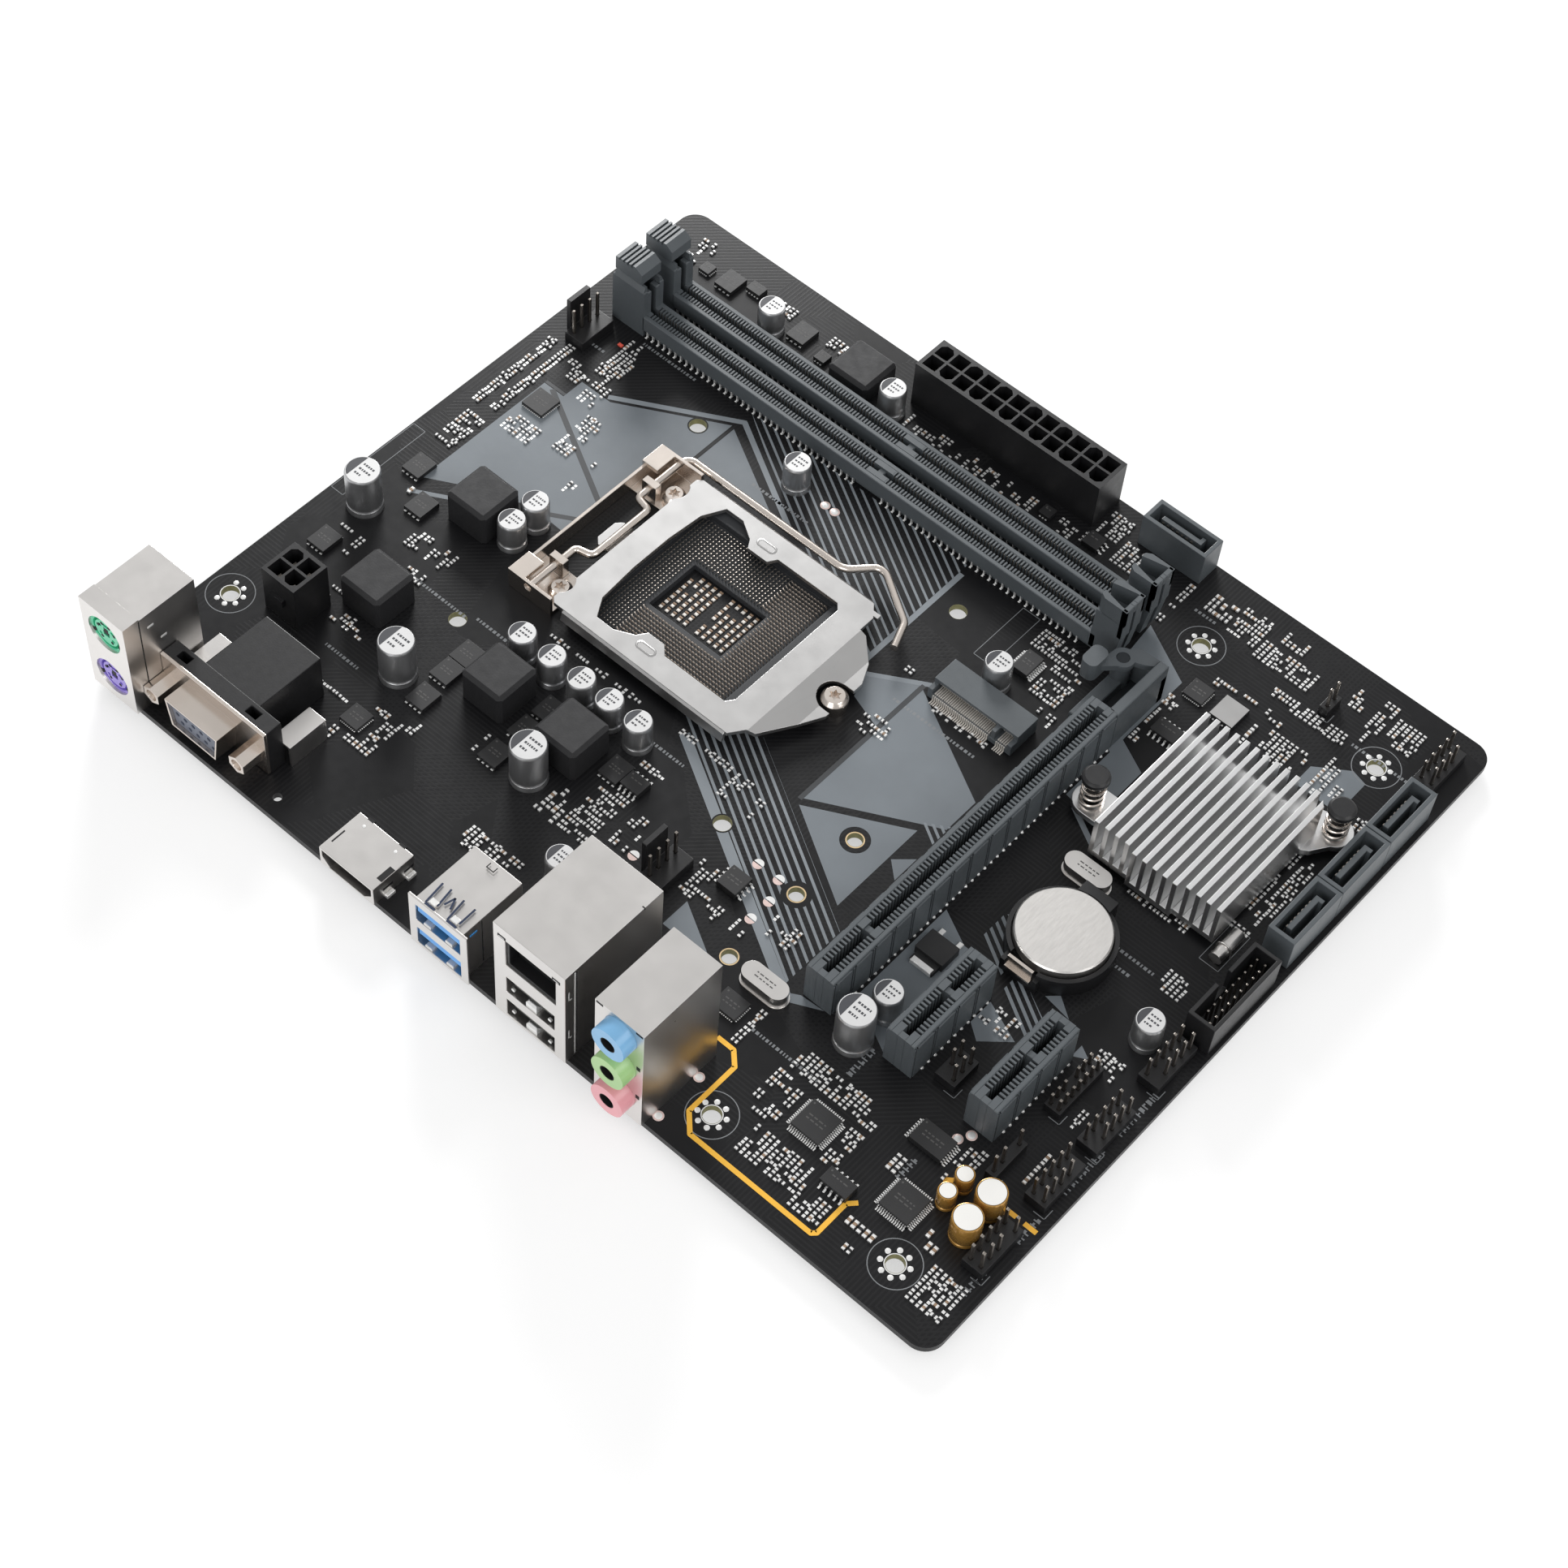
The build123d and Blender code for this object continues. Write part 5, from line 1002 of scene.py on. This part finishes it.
# ---------------------------------------------------------------- processor socket
def socket_field():
    """Bent contact leaves in two mirrored zones, standing in the socket's tray; one zone's leaves take a
    lighter copy of the contact metal as a painted sheen, and a tile of painted shade lies under each leaf.
    """
    build = Build()
    (x0, y0, _), (x1, y1, _) = span("socket_body")
    wall = 3.1
    floor = 3.2
    pitch = 0.914
    well = (66.0 - 0.9, 86.4 + 0.9, 58.2 - 0.9, 72.6 + 0.9)
    columns = int((x1 - x0 - 2 * wall) / pitch)
    rows = int((y1 - y0 - 2 * wall) / pitch)
    first_x = (x0 + x1) / 2 - (columns - 1) * pitch / 2
    first_y = (y0 + y1) / 2 - (rows - 1) * pitch / 2
    for i in range(columns):
        for j in range(rows):
            x, y = first_x + i * pitch, first_y + j * pitch
            if well[0] < x < well[1] and well[2] < y < well[3]:
                continue
            left = (x < 84.2 and y > 66) or (x < 66.4 and y <= 66)
            s = 1 if left else -1
            # a tile of painted shade on the tray floor under each leaf
            build.box(x - 0.33, x + 0.33, y - 0.33, y + 0.33, floor, floor + 0.02, 1)
            w = 0.15
            a, b = (x - s * 0.28, y - s * 0.1), (x + s * 0.24, y + s * 0.1)
            rings = []
            tip = (b[0] + s * 0.16, b[1])
            for (cx, cy), z, wide in ((a, floor, w), ((x - s * 0.12, y), floor + 0.5, w),
                                      (b, floor + 0.95, w * 0.9), (tip, floor + 1.0, w * 0.7)):
                rings.append([(cx - 0.05, cy - wide, z), (cx + 0.05, cy - wide, z),
                              (cx + 0.05, cy + wide, z), (cx - 0.05, cy + wide, z)])
            # leaves of the second zone take the lighter painted-sheen copy of the contact metal
            build.loft(rings, 0 if left else 2)
    # small parts in the middle well
    for i in range(11):
        for j in range(7):
            x = 67.6 + i * 1.72
            y = 60.2 + j * 1.8
            if rng.random() < 0.16 or 4.6 < i < 5.4:
                continue
            build.box(x - 0.42, x + 0.42, y - 0.38, y + 0.38, TOP, TOP + 0.3, 3, 0.12)
            build.box(x - 0.42, x + 0.42, y + 0.5, y + 0.95, TOP, TOP + 0.3, 4, 0.05)
    make(build, "socket_pin_field", [CONTACT, SHADE_SLATE, SHEEN_CONTACT, PAD, MLCC],
         stands_for=("socket_contacts",))


# ---------------------------------------------------------------- rear connectors
# the first and third places hold painted shade standing in for openings, slits and recesses
SHADE_FILL, BRIGHT, SLIT_SHADE, BLUE = range(4)          # places in the details' material list
JACK_X = 143.6
BORE_R = 1.79
BORE_DEPTH = 9.0
USB3_BAYS = ((2.6, 8.0), (10.6, 16.0))
USB3_BODY_X = (89.7, 102.4)


def circle_y(x, y, z, r, steps):
    """Circle in a plane square to y."""
    return [(x + r * cos(2 * pi * i / steps), y, z + r * sin(2 * pi * i / steps)) for i in range(steps)]


def peg(build, x, z, y0, y1, r, mat, steps=20):
    """Round plug along y, for holes seen in a front face."""
    build.loft([circle_y(x, y, z, r, steps) for y in (y0, y1)], mat)


def mouse_keyboard_details(build):
    """Pin holes, key and rim notches of the two round ports, drawn as dark pegs and blocks of painted shade
    on the front face.
    """
    for node in ("ps2_port_green", "ps2_port_purple"):
        (x0, y0, z0), (x1, _, z1) = span(node)
        x, z = (x0 + x1) / 2, (z0 + z1) / 2
        for degrees in (20, 65, 115, 160, 235, 305):
            a = radians(degrees)
            peg(build, x + 2.5 * cos(a), z + 2.5 * sin(a), y0 - 0.03, y0 + 0.3, 0.42, SHADE_FILL, 12)
        build.box(x - 0.65, x + 0.65, y0 - 0.03, y0 + 0.3, z - 0.3, z + 1.3, SHADE_FILL)
        for degrees in (90, 205, 335):
            a = radians(degrees)
            peg(build, x + 4.25 * cos(a), z + 4.25 * sin(a), y0 - 0.03, y0 + 0.3, 0.62, SHADE_FILL, 12)
    side = span("ps2_shell")[1][0]
    for y, z in ((-28.4, 24.6), (-25.6, 19.0)):
        build.box(side - 0.02, side + 0.05, y, y + 1.5, z, z + 0.5, BRIGHT)
    build.box(side - 0.02, side + 0.02, -30.5, -30.2, TOP, 28.6, SHADE_FILL)


def video_details(build):
    """Slots and dimples in the HDMI shell, its feet and its rear clips; the slots and the openings at the
    rear clips are strips of painted shade.
    """
    (x0, y0, _), (x1, y1, z1) = span("hdmi_shell")
    build.box(x1 - 1.5, x1 - 0.1, y0 + 2.6, y0 + 6.4, z1 - 0.1, z1 + 0.02, SHADE_FILL)
    build.box(x0 + 0.8, x0 + 1.15, y0 + 2.6, y0 + 6.2, z1 - 0.1, z1 + 0.02, SHADE_FILL)
    for x in (x0 + 3.0, x1 - 3.2):
        build.lathe(x, y1 - 1.9, [(0.42, z1 - 0.05), (0.36, z1 + 0.05), (0.15, z1 + 0.08)], BRIGHT, 16)
        build.box(x - 0.9, x + 0.9, y1 - 0.3, y1 + 0.5, z1 - 0.5, z1 + 0.02, SHADE_FILL, 0.1)
    for y in (y0 + 3.0, y1 - 2.6):
        for s, x in ((-1, x0), (1, x1)):
            a, b = sorted((x, x + s * 0.9))
            build.box(a, b, y, y + 2.2, TOP, TOP + 0.9, BRIGHT, 0.15)
        build.box(x1 - 0.02, x1 + 0.03, y - 0.2, y + 2.4, TOP + 2.2, TOP + 2.9, SHADE_FILL)


def usb3_details(build):
    """Spring fingers cut from the top of the double blue port, and its filled bays; the slits round the
    fingers are painted shade, dark blue and black, and the finger tips take the brighter solder metal as a
    painted highlight.
    """
    (_, y0, _), (_, y1, z1) = span("usb3_stack_shell")
    x0, x1 = USB3_BODY_X
    z = z1 - 0.05
    for a, b in (((1.9, 6.2), (2.5, 0.9)), ((4.1, 6.3), (4.8, 1.7)), ((7.6, 6.2), (8.3, 0.9)),
                 ((10.6, 6.2), (10.7, 1.7)), ((6.1, 5.4), (5.5, 2.9)), ((6.1, 5.4), (7.1, 2.9))):
        build.bar((x0 + a[0], y0 + a[1]), (x0 + b[0], y0 + b[1]), 0.42, z, z1 + 0.02, SLIT_SHADE)
    for x in (x0 + 2.5, x0 + 8.3):
        build.box(x, x + 2.6, y0 + 0.45, y0 + 1.0, z, z1 + 0.02, SLIT_SHADE)
        # finger tips in the brighter solder metal as a painted highlight
        build.box(x + 0.3, x + 2.1, y0 + 1.2, y0 + 2.6, z1 - 0.05, z1 + 0.18, BRIGHT, 0.14)
    for x, y, wide, deep in ((5.2, -2.4, 0.2, 1.3), (5.2, -2.4, 2.0, 0.2), (7.0, -2.4, 0.2, 1.3)):
        build.box(x0 + x, x0 + x + wide, y1 + y, y1 + y + deep, z, z1 + 0.02, SHADE_FILL)
    for low, high in USB3_BAYS:
        build.box(90.3, 101.8, y0 + 0.5, y0 + 8.0, high - 2.6, high - 0.1, BLUE, 0.12)
        for x in (92.0, 97.8):
            build.box(x, x + 1.9, y0 + 0.2, y0 + 1.5, low + 0.05, low + 0.75, BRIGHT, 0.15)
    build.box(x1 - 0.02, x1 + 0.03, y0 + 2.4, y0 + 4.4, z1 - 3.4, z1 - 2.9, BLUE)
    build.box(x1 - 0.02, x1 + 0.03, y0 + 5.6, y0 + 5.85, TOP + 1.0, z1 - 1.2, SHADE_FILL)


def network_details(build):
    """Light windows and contacts of the network jack, springs of the two ports below it; the windows, the
    depth behind the contacts and inside the ports, and the slits are painted shade.
    """
    (x0, y0, _), (x1, y1, z1) = span("lan_usb_shell")
    for a in (x0 + 1.2, x1 - 3.3):
        build.box(a, a + 2.1, y0 - 0.03, y0 + 0.3, z1 - 3.4, z1 - 2.5, SHADE_FILL)
        build.box(a + 0.25, a + 1.7, y0 - 0.04, y0 + 0.3, z1 - 3.2, z1 - 3.0, BRIGHT)
    for k in range(8):
        x = 117.8 + 0.82 * k
        build.box(x, x + 0.3, y0 + 1.6, y0 + 2.6, 26.2, 28.2, BRIGHT, 0.05)
    build.box(114.8, 126.4, y0 + 3.0, y0 + 3.4, 21.0, 28.2, SHADE_FILL)
    for low in (2.6, 10.7):
        build.box(119.0, 121.8, y0 + 0.3, y0 + 1.3, low + 0.05, low + 1.9, BRIGHT, 0.4)
        build.box(119.0, 121.8, y0 + 1.2, y0 + 4.6, low + 0.05, low + 1.1, BRIGHT, 0.2)
        for x in (115.4, 125.0):
            peg(build, x, low + 1.3, y0 + 0.5, y0 + 0.9, 0.45, BRIGHT, 12)
        build.box(114.3, 126.5, y0 + 5.0, y0 + 5.4, low + 0.1, low + 5.2, SHADE_FILL)
    build.box(x1 - 0.02, x1 + 0.04, y0 + 2.6, y0 + 2.9, TOP + 0.8, z1 - 0.8, BRIGHT)
    build.box(x1 - 0.02, x1 + 0.03, y0 + 2.9, y0 + 3.3, TOP + 0.8, z1 - 0.8, SHADE_FILL)
    for z in (9.6, 23.4):
        build.box(x1 - 0.02, x1 + 0.03, y0 + 1.0, y0 + 1.25, z, z + 3.0, BRIGHT)
        build.box(x1 - 0.02, x1 + 0.03, y0 + 1.0, y0 + 1.9, z, z + 0.25, BRIGHT)
    build.box(x1 - 0.6, x1 + 0.04, y1 - 5.4, y1 - 5.1, z1 - 0.6, z1 + 0.02, SHADE_FILL)


def audio_details(build):
    """Bezel notches, and bores lined with painted shade, with a disc of painted shade deep inside."""
    (x0, y0, _), (x1, _, z1) = span("audio_shell")
    for a in (x0 + 0.3, x1 - 2.0):
        build.box(a, a + 1.7, y0 - 0.03, y0 + 0.4, z1 - 0.75, z1 - 0.15, SHADE_FILL)
    for node in ("audio_jack_blue", "audio_jack_green", "audio_jack_pink"):
        (_, mouth, low), (_, _, high) = span(node)
        x, z = JACK_X, (low + high) / 2
        front, deep = mouth + 0.06, mouth + BORE_DEPTH
        lining = ((front, BORE_R - 0.17), (front, BORE_R), (deep, BORE_R), (deep, BORE_R - 0.17))
        build.hoop([circle_y(x, y, z, r, 28) for y, r in lining], SHADE_FILL)
        peg(build, x, z, deep - 0.4, deep + 0.2, 1.7, SHADE_FILL)
        if node != "audio_jack_blue":
            build.box(x1 - 1.6, x1 - 0.7, y0 - 0.04, y0 + 0.3, z + 1.7, z + 2.9, SHADE_FILL)


def rear_connector_details():
    build = Build()
    mouse_keyboard_details(build)
    video_details(build)
    usb3_details(build)
    network_details(build)
    audio_details(build)
    make(build, "rear_connector_details", [SHADE_BLACK, SOLDER, SHADE_BLUE, USB_BLUE])


# ---------------------------------------------------------------- marks, pads, solder joints
HEADER_ROWS = [(216.4, -19.0, -12.5), (217.0, -4.0, 2.0), (217.0, 10.0, 22.0), (217.0, 27.0, 39.0),
               (192.0, -9.0, -4.0), (170.8, 1.5, 9.0)]
LABEL_ROWS = [(14.0, 30.0, 112.6), (20.0, 40.0, 29.6), (42.0, 54.0, 31.0), (150.5, 168.0, -3.6),
              (186.0, 200.0, 60.0), (184.0, 197.0, 56.4), (119.0, 141.0, 76.0), (59.0, 75.0, 99.0),
              (2.0, 10.0, 104.5), (120.0, 140.0, 118.6), (196.0, 210.0, 133.4), (24.0, 34.0, 4.6),
              (150.5, 156.0, 139.0), (88.0, 99.0, 33.0)]


def printed_marks():
    """Generic dashes where the board carries print, and corner marks beside the headers."""
    build = Build()
    for x0, x1, y in LABEL_ROWS:
        dashes(build, x0, x1, y, TOP + 0.01, 0, 0.4, 0.75, 0.25, 0.8)
    for x, y0, y1 in HEADER_ROWS:
        y = y0
        while y < y1:
            build.box(x - 0.7, x + 0.7, y, y + 0.3, TOP - 0.01, TOP + 0.02, 0)
            build.box(x - 0.7 + rng.random(), x - 0.4 + rng.random(), y + 0.3, y + 0.8,
                      TOP - 0.01, TOP + 0.02, 0)
            y += 1.15
    for low, high in solids("pin_header_bases") + solids("fan_header_bases"):
        if low[0] < 160:
            continue
        x, y = high[0] + 0.7, low[1] - 0.7
        build.bar((x - 2.6, y), (x + 0.09, y), 0.18, TOP - 0.01, TOP + 0.02, 0)
        build.bar((x, y - 0.09), (x, y + 2.6), 0.18, TOP - 0.01, TOP + 0.02, 0)
    make(build, "printed_marks", [SILK_WORD])


def loose_pads():
    """Round test pads, half-moon pads, a status light and the metal lid of one chip."""
    build = Build()
    for x, y in ((150.2, -18.5), (150.2, -30.0), (74.5, 105.5), (77.2, 105.5), (196.5, 7.6), (195.0, 5.2)):
        build.lathe(x, y, [(1.15, TOP), (1.1, TOP + 0.03)], 1, 24)
        build.lathe(x, y, [(0.85, TOP), (0.6, TOP + 0.1), (0.2, TOP + 0.13)], 0, 24)
    for x, y in ((126.0, 25.7), (131.5, 25.7), (133.5, 20.5), (133.5, 15.0), (106.5, 10.0)):
        for s in (-1, 1):
            half = arc_points(x, y + s * 0.12, 1.15, 0 if s > 0 else pi, pi if s > 0 else 2 * pi, 12)
            build.prism(half, TOP - 0.01, TOP + 0.06, 0 if s > 0 else 1)
    build.box(10.1, 11.3, 108.1, 108.9, TOP, TOP + 0.5, 2, 0.1)
    for low, high in solids("ic_packages"):
        if hypot((low[0] + high[0]) / 2 - 172.5, (low[1] + high[1]) / 2 - 121.7) < 2.5:
            build.box(low[0] + 0.1, high[0] - 0.1, low[1] + 0.1, high[1] - 0.1,
                      high[2] - 0.05, high[2] + 0.02, 3)
    make(build, "loose_pads", [SOLDER, BLUSH, GLOW, PLATE])


def joint(build, x, y, r, depth):
    """Cone of solder round a lead's end under the board."""
    build.lathe(x, y, [(0.14, -depth), (r * 0.45, -depth * 0.6), (r * 0.8, -0.15), (r, 0.0), (r, 0.02)],
                0, 10)


def solder_side():
    """Joints under the board where leads pass through it."""
    build = Build()
    for low, high in solids("header_pins") + solids("power_connector_pins"):
        joint(build, (low[0] + high[0]) / 2, (low[1] + high[1]) / 2, 0.75, 1.1)
    for latch in ("dimm_latch_a", "dimm_latch_b"):
        yc = (span(latch)[0][1] + span(latch)[1][1]) / 2
        for a, b in DIMM_KEYS:
            for k in range(int((b - a) / TAIL_PITCH)):
                for side in (-1, 1):
                    joint(build, a + 0.4 + k * TAIL_PITCH, yc + side * 2.85, 0.5, 0.8)
    for x, end in CARD_SLOTS:
        for k in range(int((end - 14) / 2.0) + 1):
            for side in (-1, 1):
                joint(build, x + side * 3.4, 12.4 + 2.0 * k, 0.5, 0.8)
    for low, high in solids("capacitors"):
        x, y = centre((low, high))
        for side in (-1, 1):
            joint(build, x + side * (1.75 if high[0] - low[0] > 7 else 1.25), y, 0.85, 0.9)
    for low, high in solids("chokes"):
        x, y = centre((low, high))
        if high[2] - TOP > 6:
            for side in (-1, 1):
                joint(build, x, y + side * 3.6, 1.3, 0.9)
    for node, rows in (("ps2_shell", 2), ("vga_housing", 3), ("lan_usb_shell", 3), ("audio_shell", 3),
                       ("usb3_stack_shell", 3)):
        (x0, _, _), (x1, y1, _) = span(node)
        for row in range(rows):
            for k in range(5):
                joint(build, x0 + (x1 - x0) * (0.18 + 0.16 * k), y1 - 2.0 - 2.6 * row, 0.62, 0.9)
    make(build, "solder_joints", [SOLDER])


def load_plate_details():
    """Oval dimples pressed in the flanks of the load plate."""
    build = Build()
    top = span("ilm_load_plate")[1][2]
    for y in (47.0, 84.9):
        build.loft([capsule(75.4, y, half, r, z) for half, r, z in
                    ((2.6, 1.15, top - 0.05), (2.6, 1.15, top + 0.03), (2.45, 1.0, top + 0.12),
                     (2.2, 0.75, top + 0.12), (2.1, 0.65, top + 0.02))], 0)
    make(build, "load_plate_dimples", [PLATE], body="load_plate")


# ---------------------------------------------------------------- springs
def pin_spring(number):
    node = f"push_pin_spring_{number}"
    (x0, y0, z0), (x1, y1, z1) = span(node)
    x, y = (x0 + x1) / 2, (y0 + y1) / 2
    wire = 0.32
    r = (x1 - x0) / 2 - wire
    turns = 4.5
    steps = 120
    path = []
    for i in range(steps + 1):
        t = i / steps
        flat = min(1.0, max(0.0, (t - 0.12) / 0.76))
        path.append((x + r * cos(2 * pi * turns * t), y + r * sin(2 * pi * turns * t),
                     z0 + wire + (z1 - z0 - 2 * wire) * flat))
    build = Build()
    build.tube(path, wire, 0, 8)
    piece = make(build, f"heatsink_spring_{number}", [NICKEL], stands_for=(node,))
    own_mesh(piece)


# ---------------------------------------------------------------- camera, light, floor
CAMERA = {"place": (336.8, -250.3, 528.1), "right": (0.7487, 0.6605, 0.0563),
          "down": (0.5675, -0.5947, -0.5695), "ahead": (-0.3427, 0.4583, -0.8201)}
LENS = 72.24


def camera():
    data = bpy.data.cameras.new("camera")
    data.lens = LENS
    data.sensor_width = 36
    view = bpy.data.objects.new("camera", data)
    columns = [Vector(CAMERA["right"]), -Vector(CAMERA["down"]), -Vector(CAMERA["ahead"])]
    turn = Matrix(columns).transposed().to_4x4()
    view.matrix_world = Matrix.Translation(Vector(CAMERA["place"]) * MM) @ turn
    bpy.context.scene.collection.objects.link(view)
    bpy.context.scene.camera = view


def lamp(name, place, target, size, power, shade=(1, 1, 1)):
    data = bpy.data.lights.new(name, "AREA")
    data.shape = "DISK"
    data.size = size
    data.energy = power
    data.color = shade
    light = bpy.data.objects.new(name, data)
    aim = Vector(target) - Vector(place)
    light.matrix_world = Matrix.Translation(place) @ aim.to_track_quat("-Z", "Y").to_matrix().to_4x4()
    bpy.context.scene.collection.objects.link(light)


def studio():
    middle = (0.107, 0.06, 0.0)
    lamp("key", (-0.72, 0.93, 0.50), middle, 0.5, 14.0)
    lamp("front", (0.30, -0.95, 0.55), middle, 0.7, 3.0)
    lamp("fill", (1.10, 0.10, 0.80), middle, 0.7, 3.0)
    world = bpy.data.worlds.new("studio")
    bpy.context.scene.world = world
    world.use_nodes = True
    nodes, links = world.node_tree.nodes, world.node_tree.links
    coords = nodes.new("ShaderNodeTexCoord")
    split = nodes.new("ShaderNodeSeparateXYZ")
    ramp = nodes.new("ShaderNodeValToRGB")
    ramp.color_ramp.elements[0].position = 0.0
    ramp.color_ramp.elements[0].color = (0.42, 0.42, 0.42, 1)
    ramp.color_ramp.elements[1].position = 0.6
    ramp.color_ramp.elements[1].color = (1, 1, 1, 1)
    links.new(coords.outputs["Generated"], split.inputs["Vector"])
    links.new(split.outputs["Z"], ramp.inputs["Fac"])
    links.new(ramp.outputs["Color"], nodes["Background"].inputs["Color"])
    nodes["Background"].inputs["Strength"].default_value = 0.62
    bpy.context.scene.view_settings.view_transform = "Standard"


def floor():
    """Pale back-lit sheet under the part, so shadows on it stay faint."""
    mat = surface("floor_paper", (0.50, 0.50, 0.50), 0.8, vary=0.01, coarse=8.0, bump=0.02)
    shader = mat.node_tree.nodes["Principled BSDF"]
    shader.inputs["Emission Color"].default_value = (1, 1, 1, 1)
    shader.inputs["Emission Strength"].default_value = 0.55
    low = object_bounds()[0][2] - 0.0002
    mesh = bpy.data.meshes.new("floor")
    reach = 6.0
    mesh.from_pydata([(-reach, -reach, low), (reach, -reach, low), (reach, reach, low), (-reach, reach, low)],
                     [], [(0, 1, 2, 3)])
    mesh.materials.append(mat)
    sheet = bpy.data.objects.new("floor", mesh)
    bpy.context.scene.collection.objects.link(sheet)
    sheet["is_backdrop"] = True


# ---------------------------------------------------------------- everything
finish_cad_nodes()
printed_fields()
printed_lines()
plated_holes()
block_off()
chips()
scatter_passives()
polymer_capacitors()
sleeved_capacitors()
crystal_details()
memory_slots()
expansion_slots()
storage_connector()
socket_field()
rear_connector_details()
load_plate_details()
printed_marks()
loose_pads()
solder_side()
pin_spring(1)
pin_spring(2)
camera()
studio()
floor()
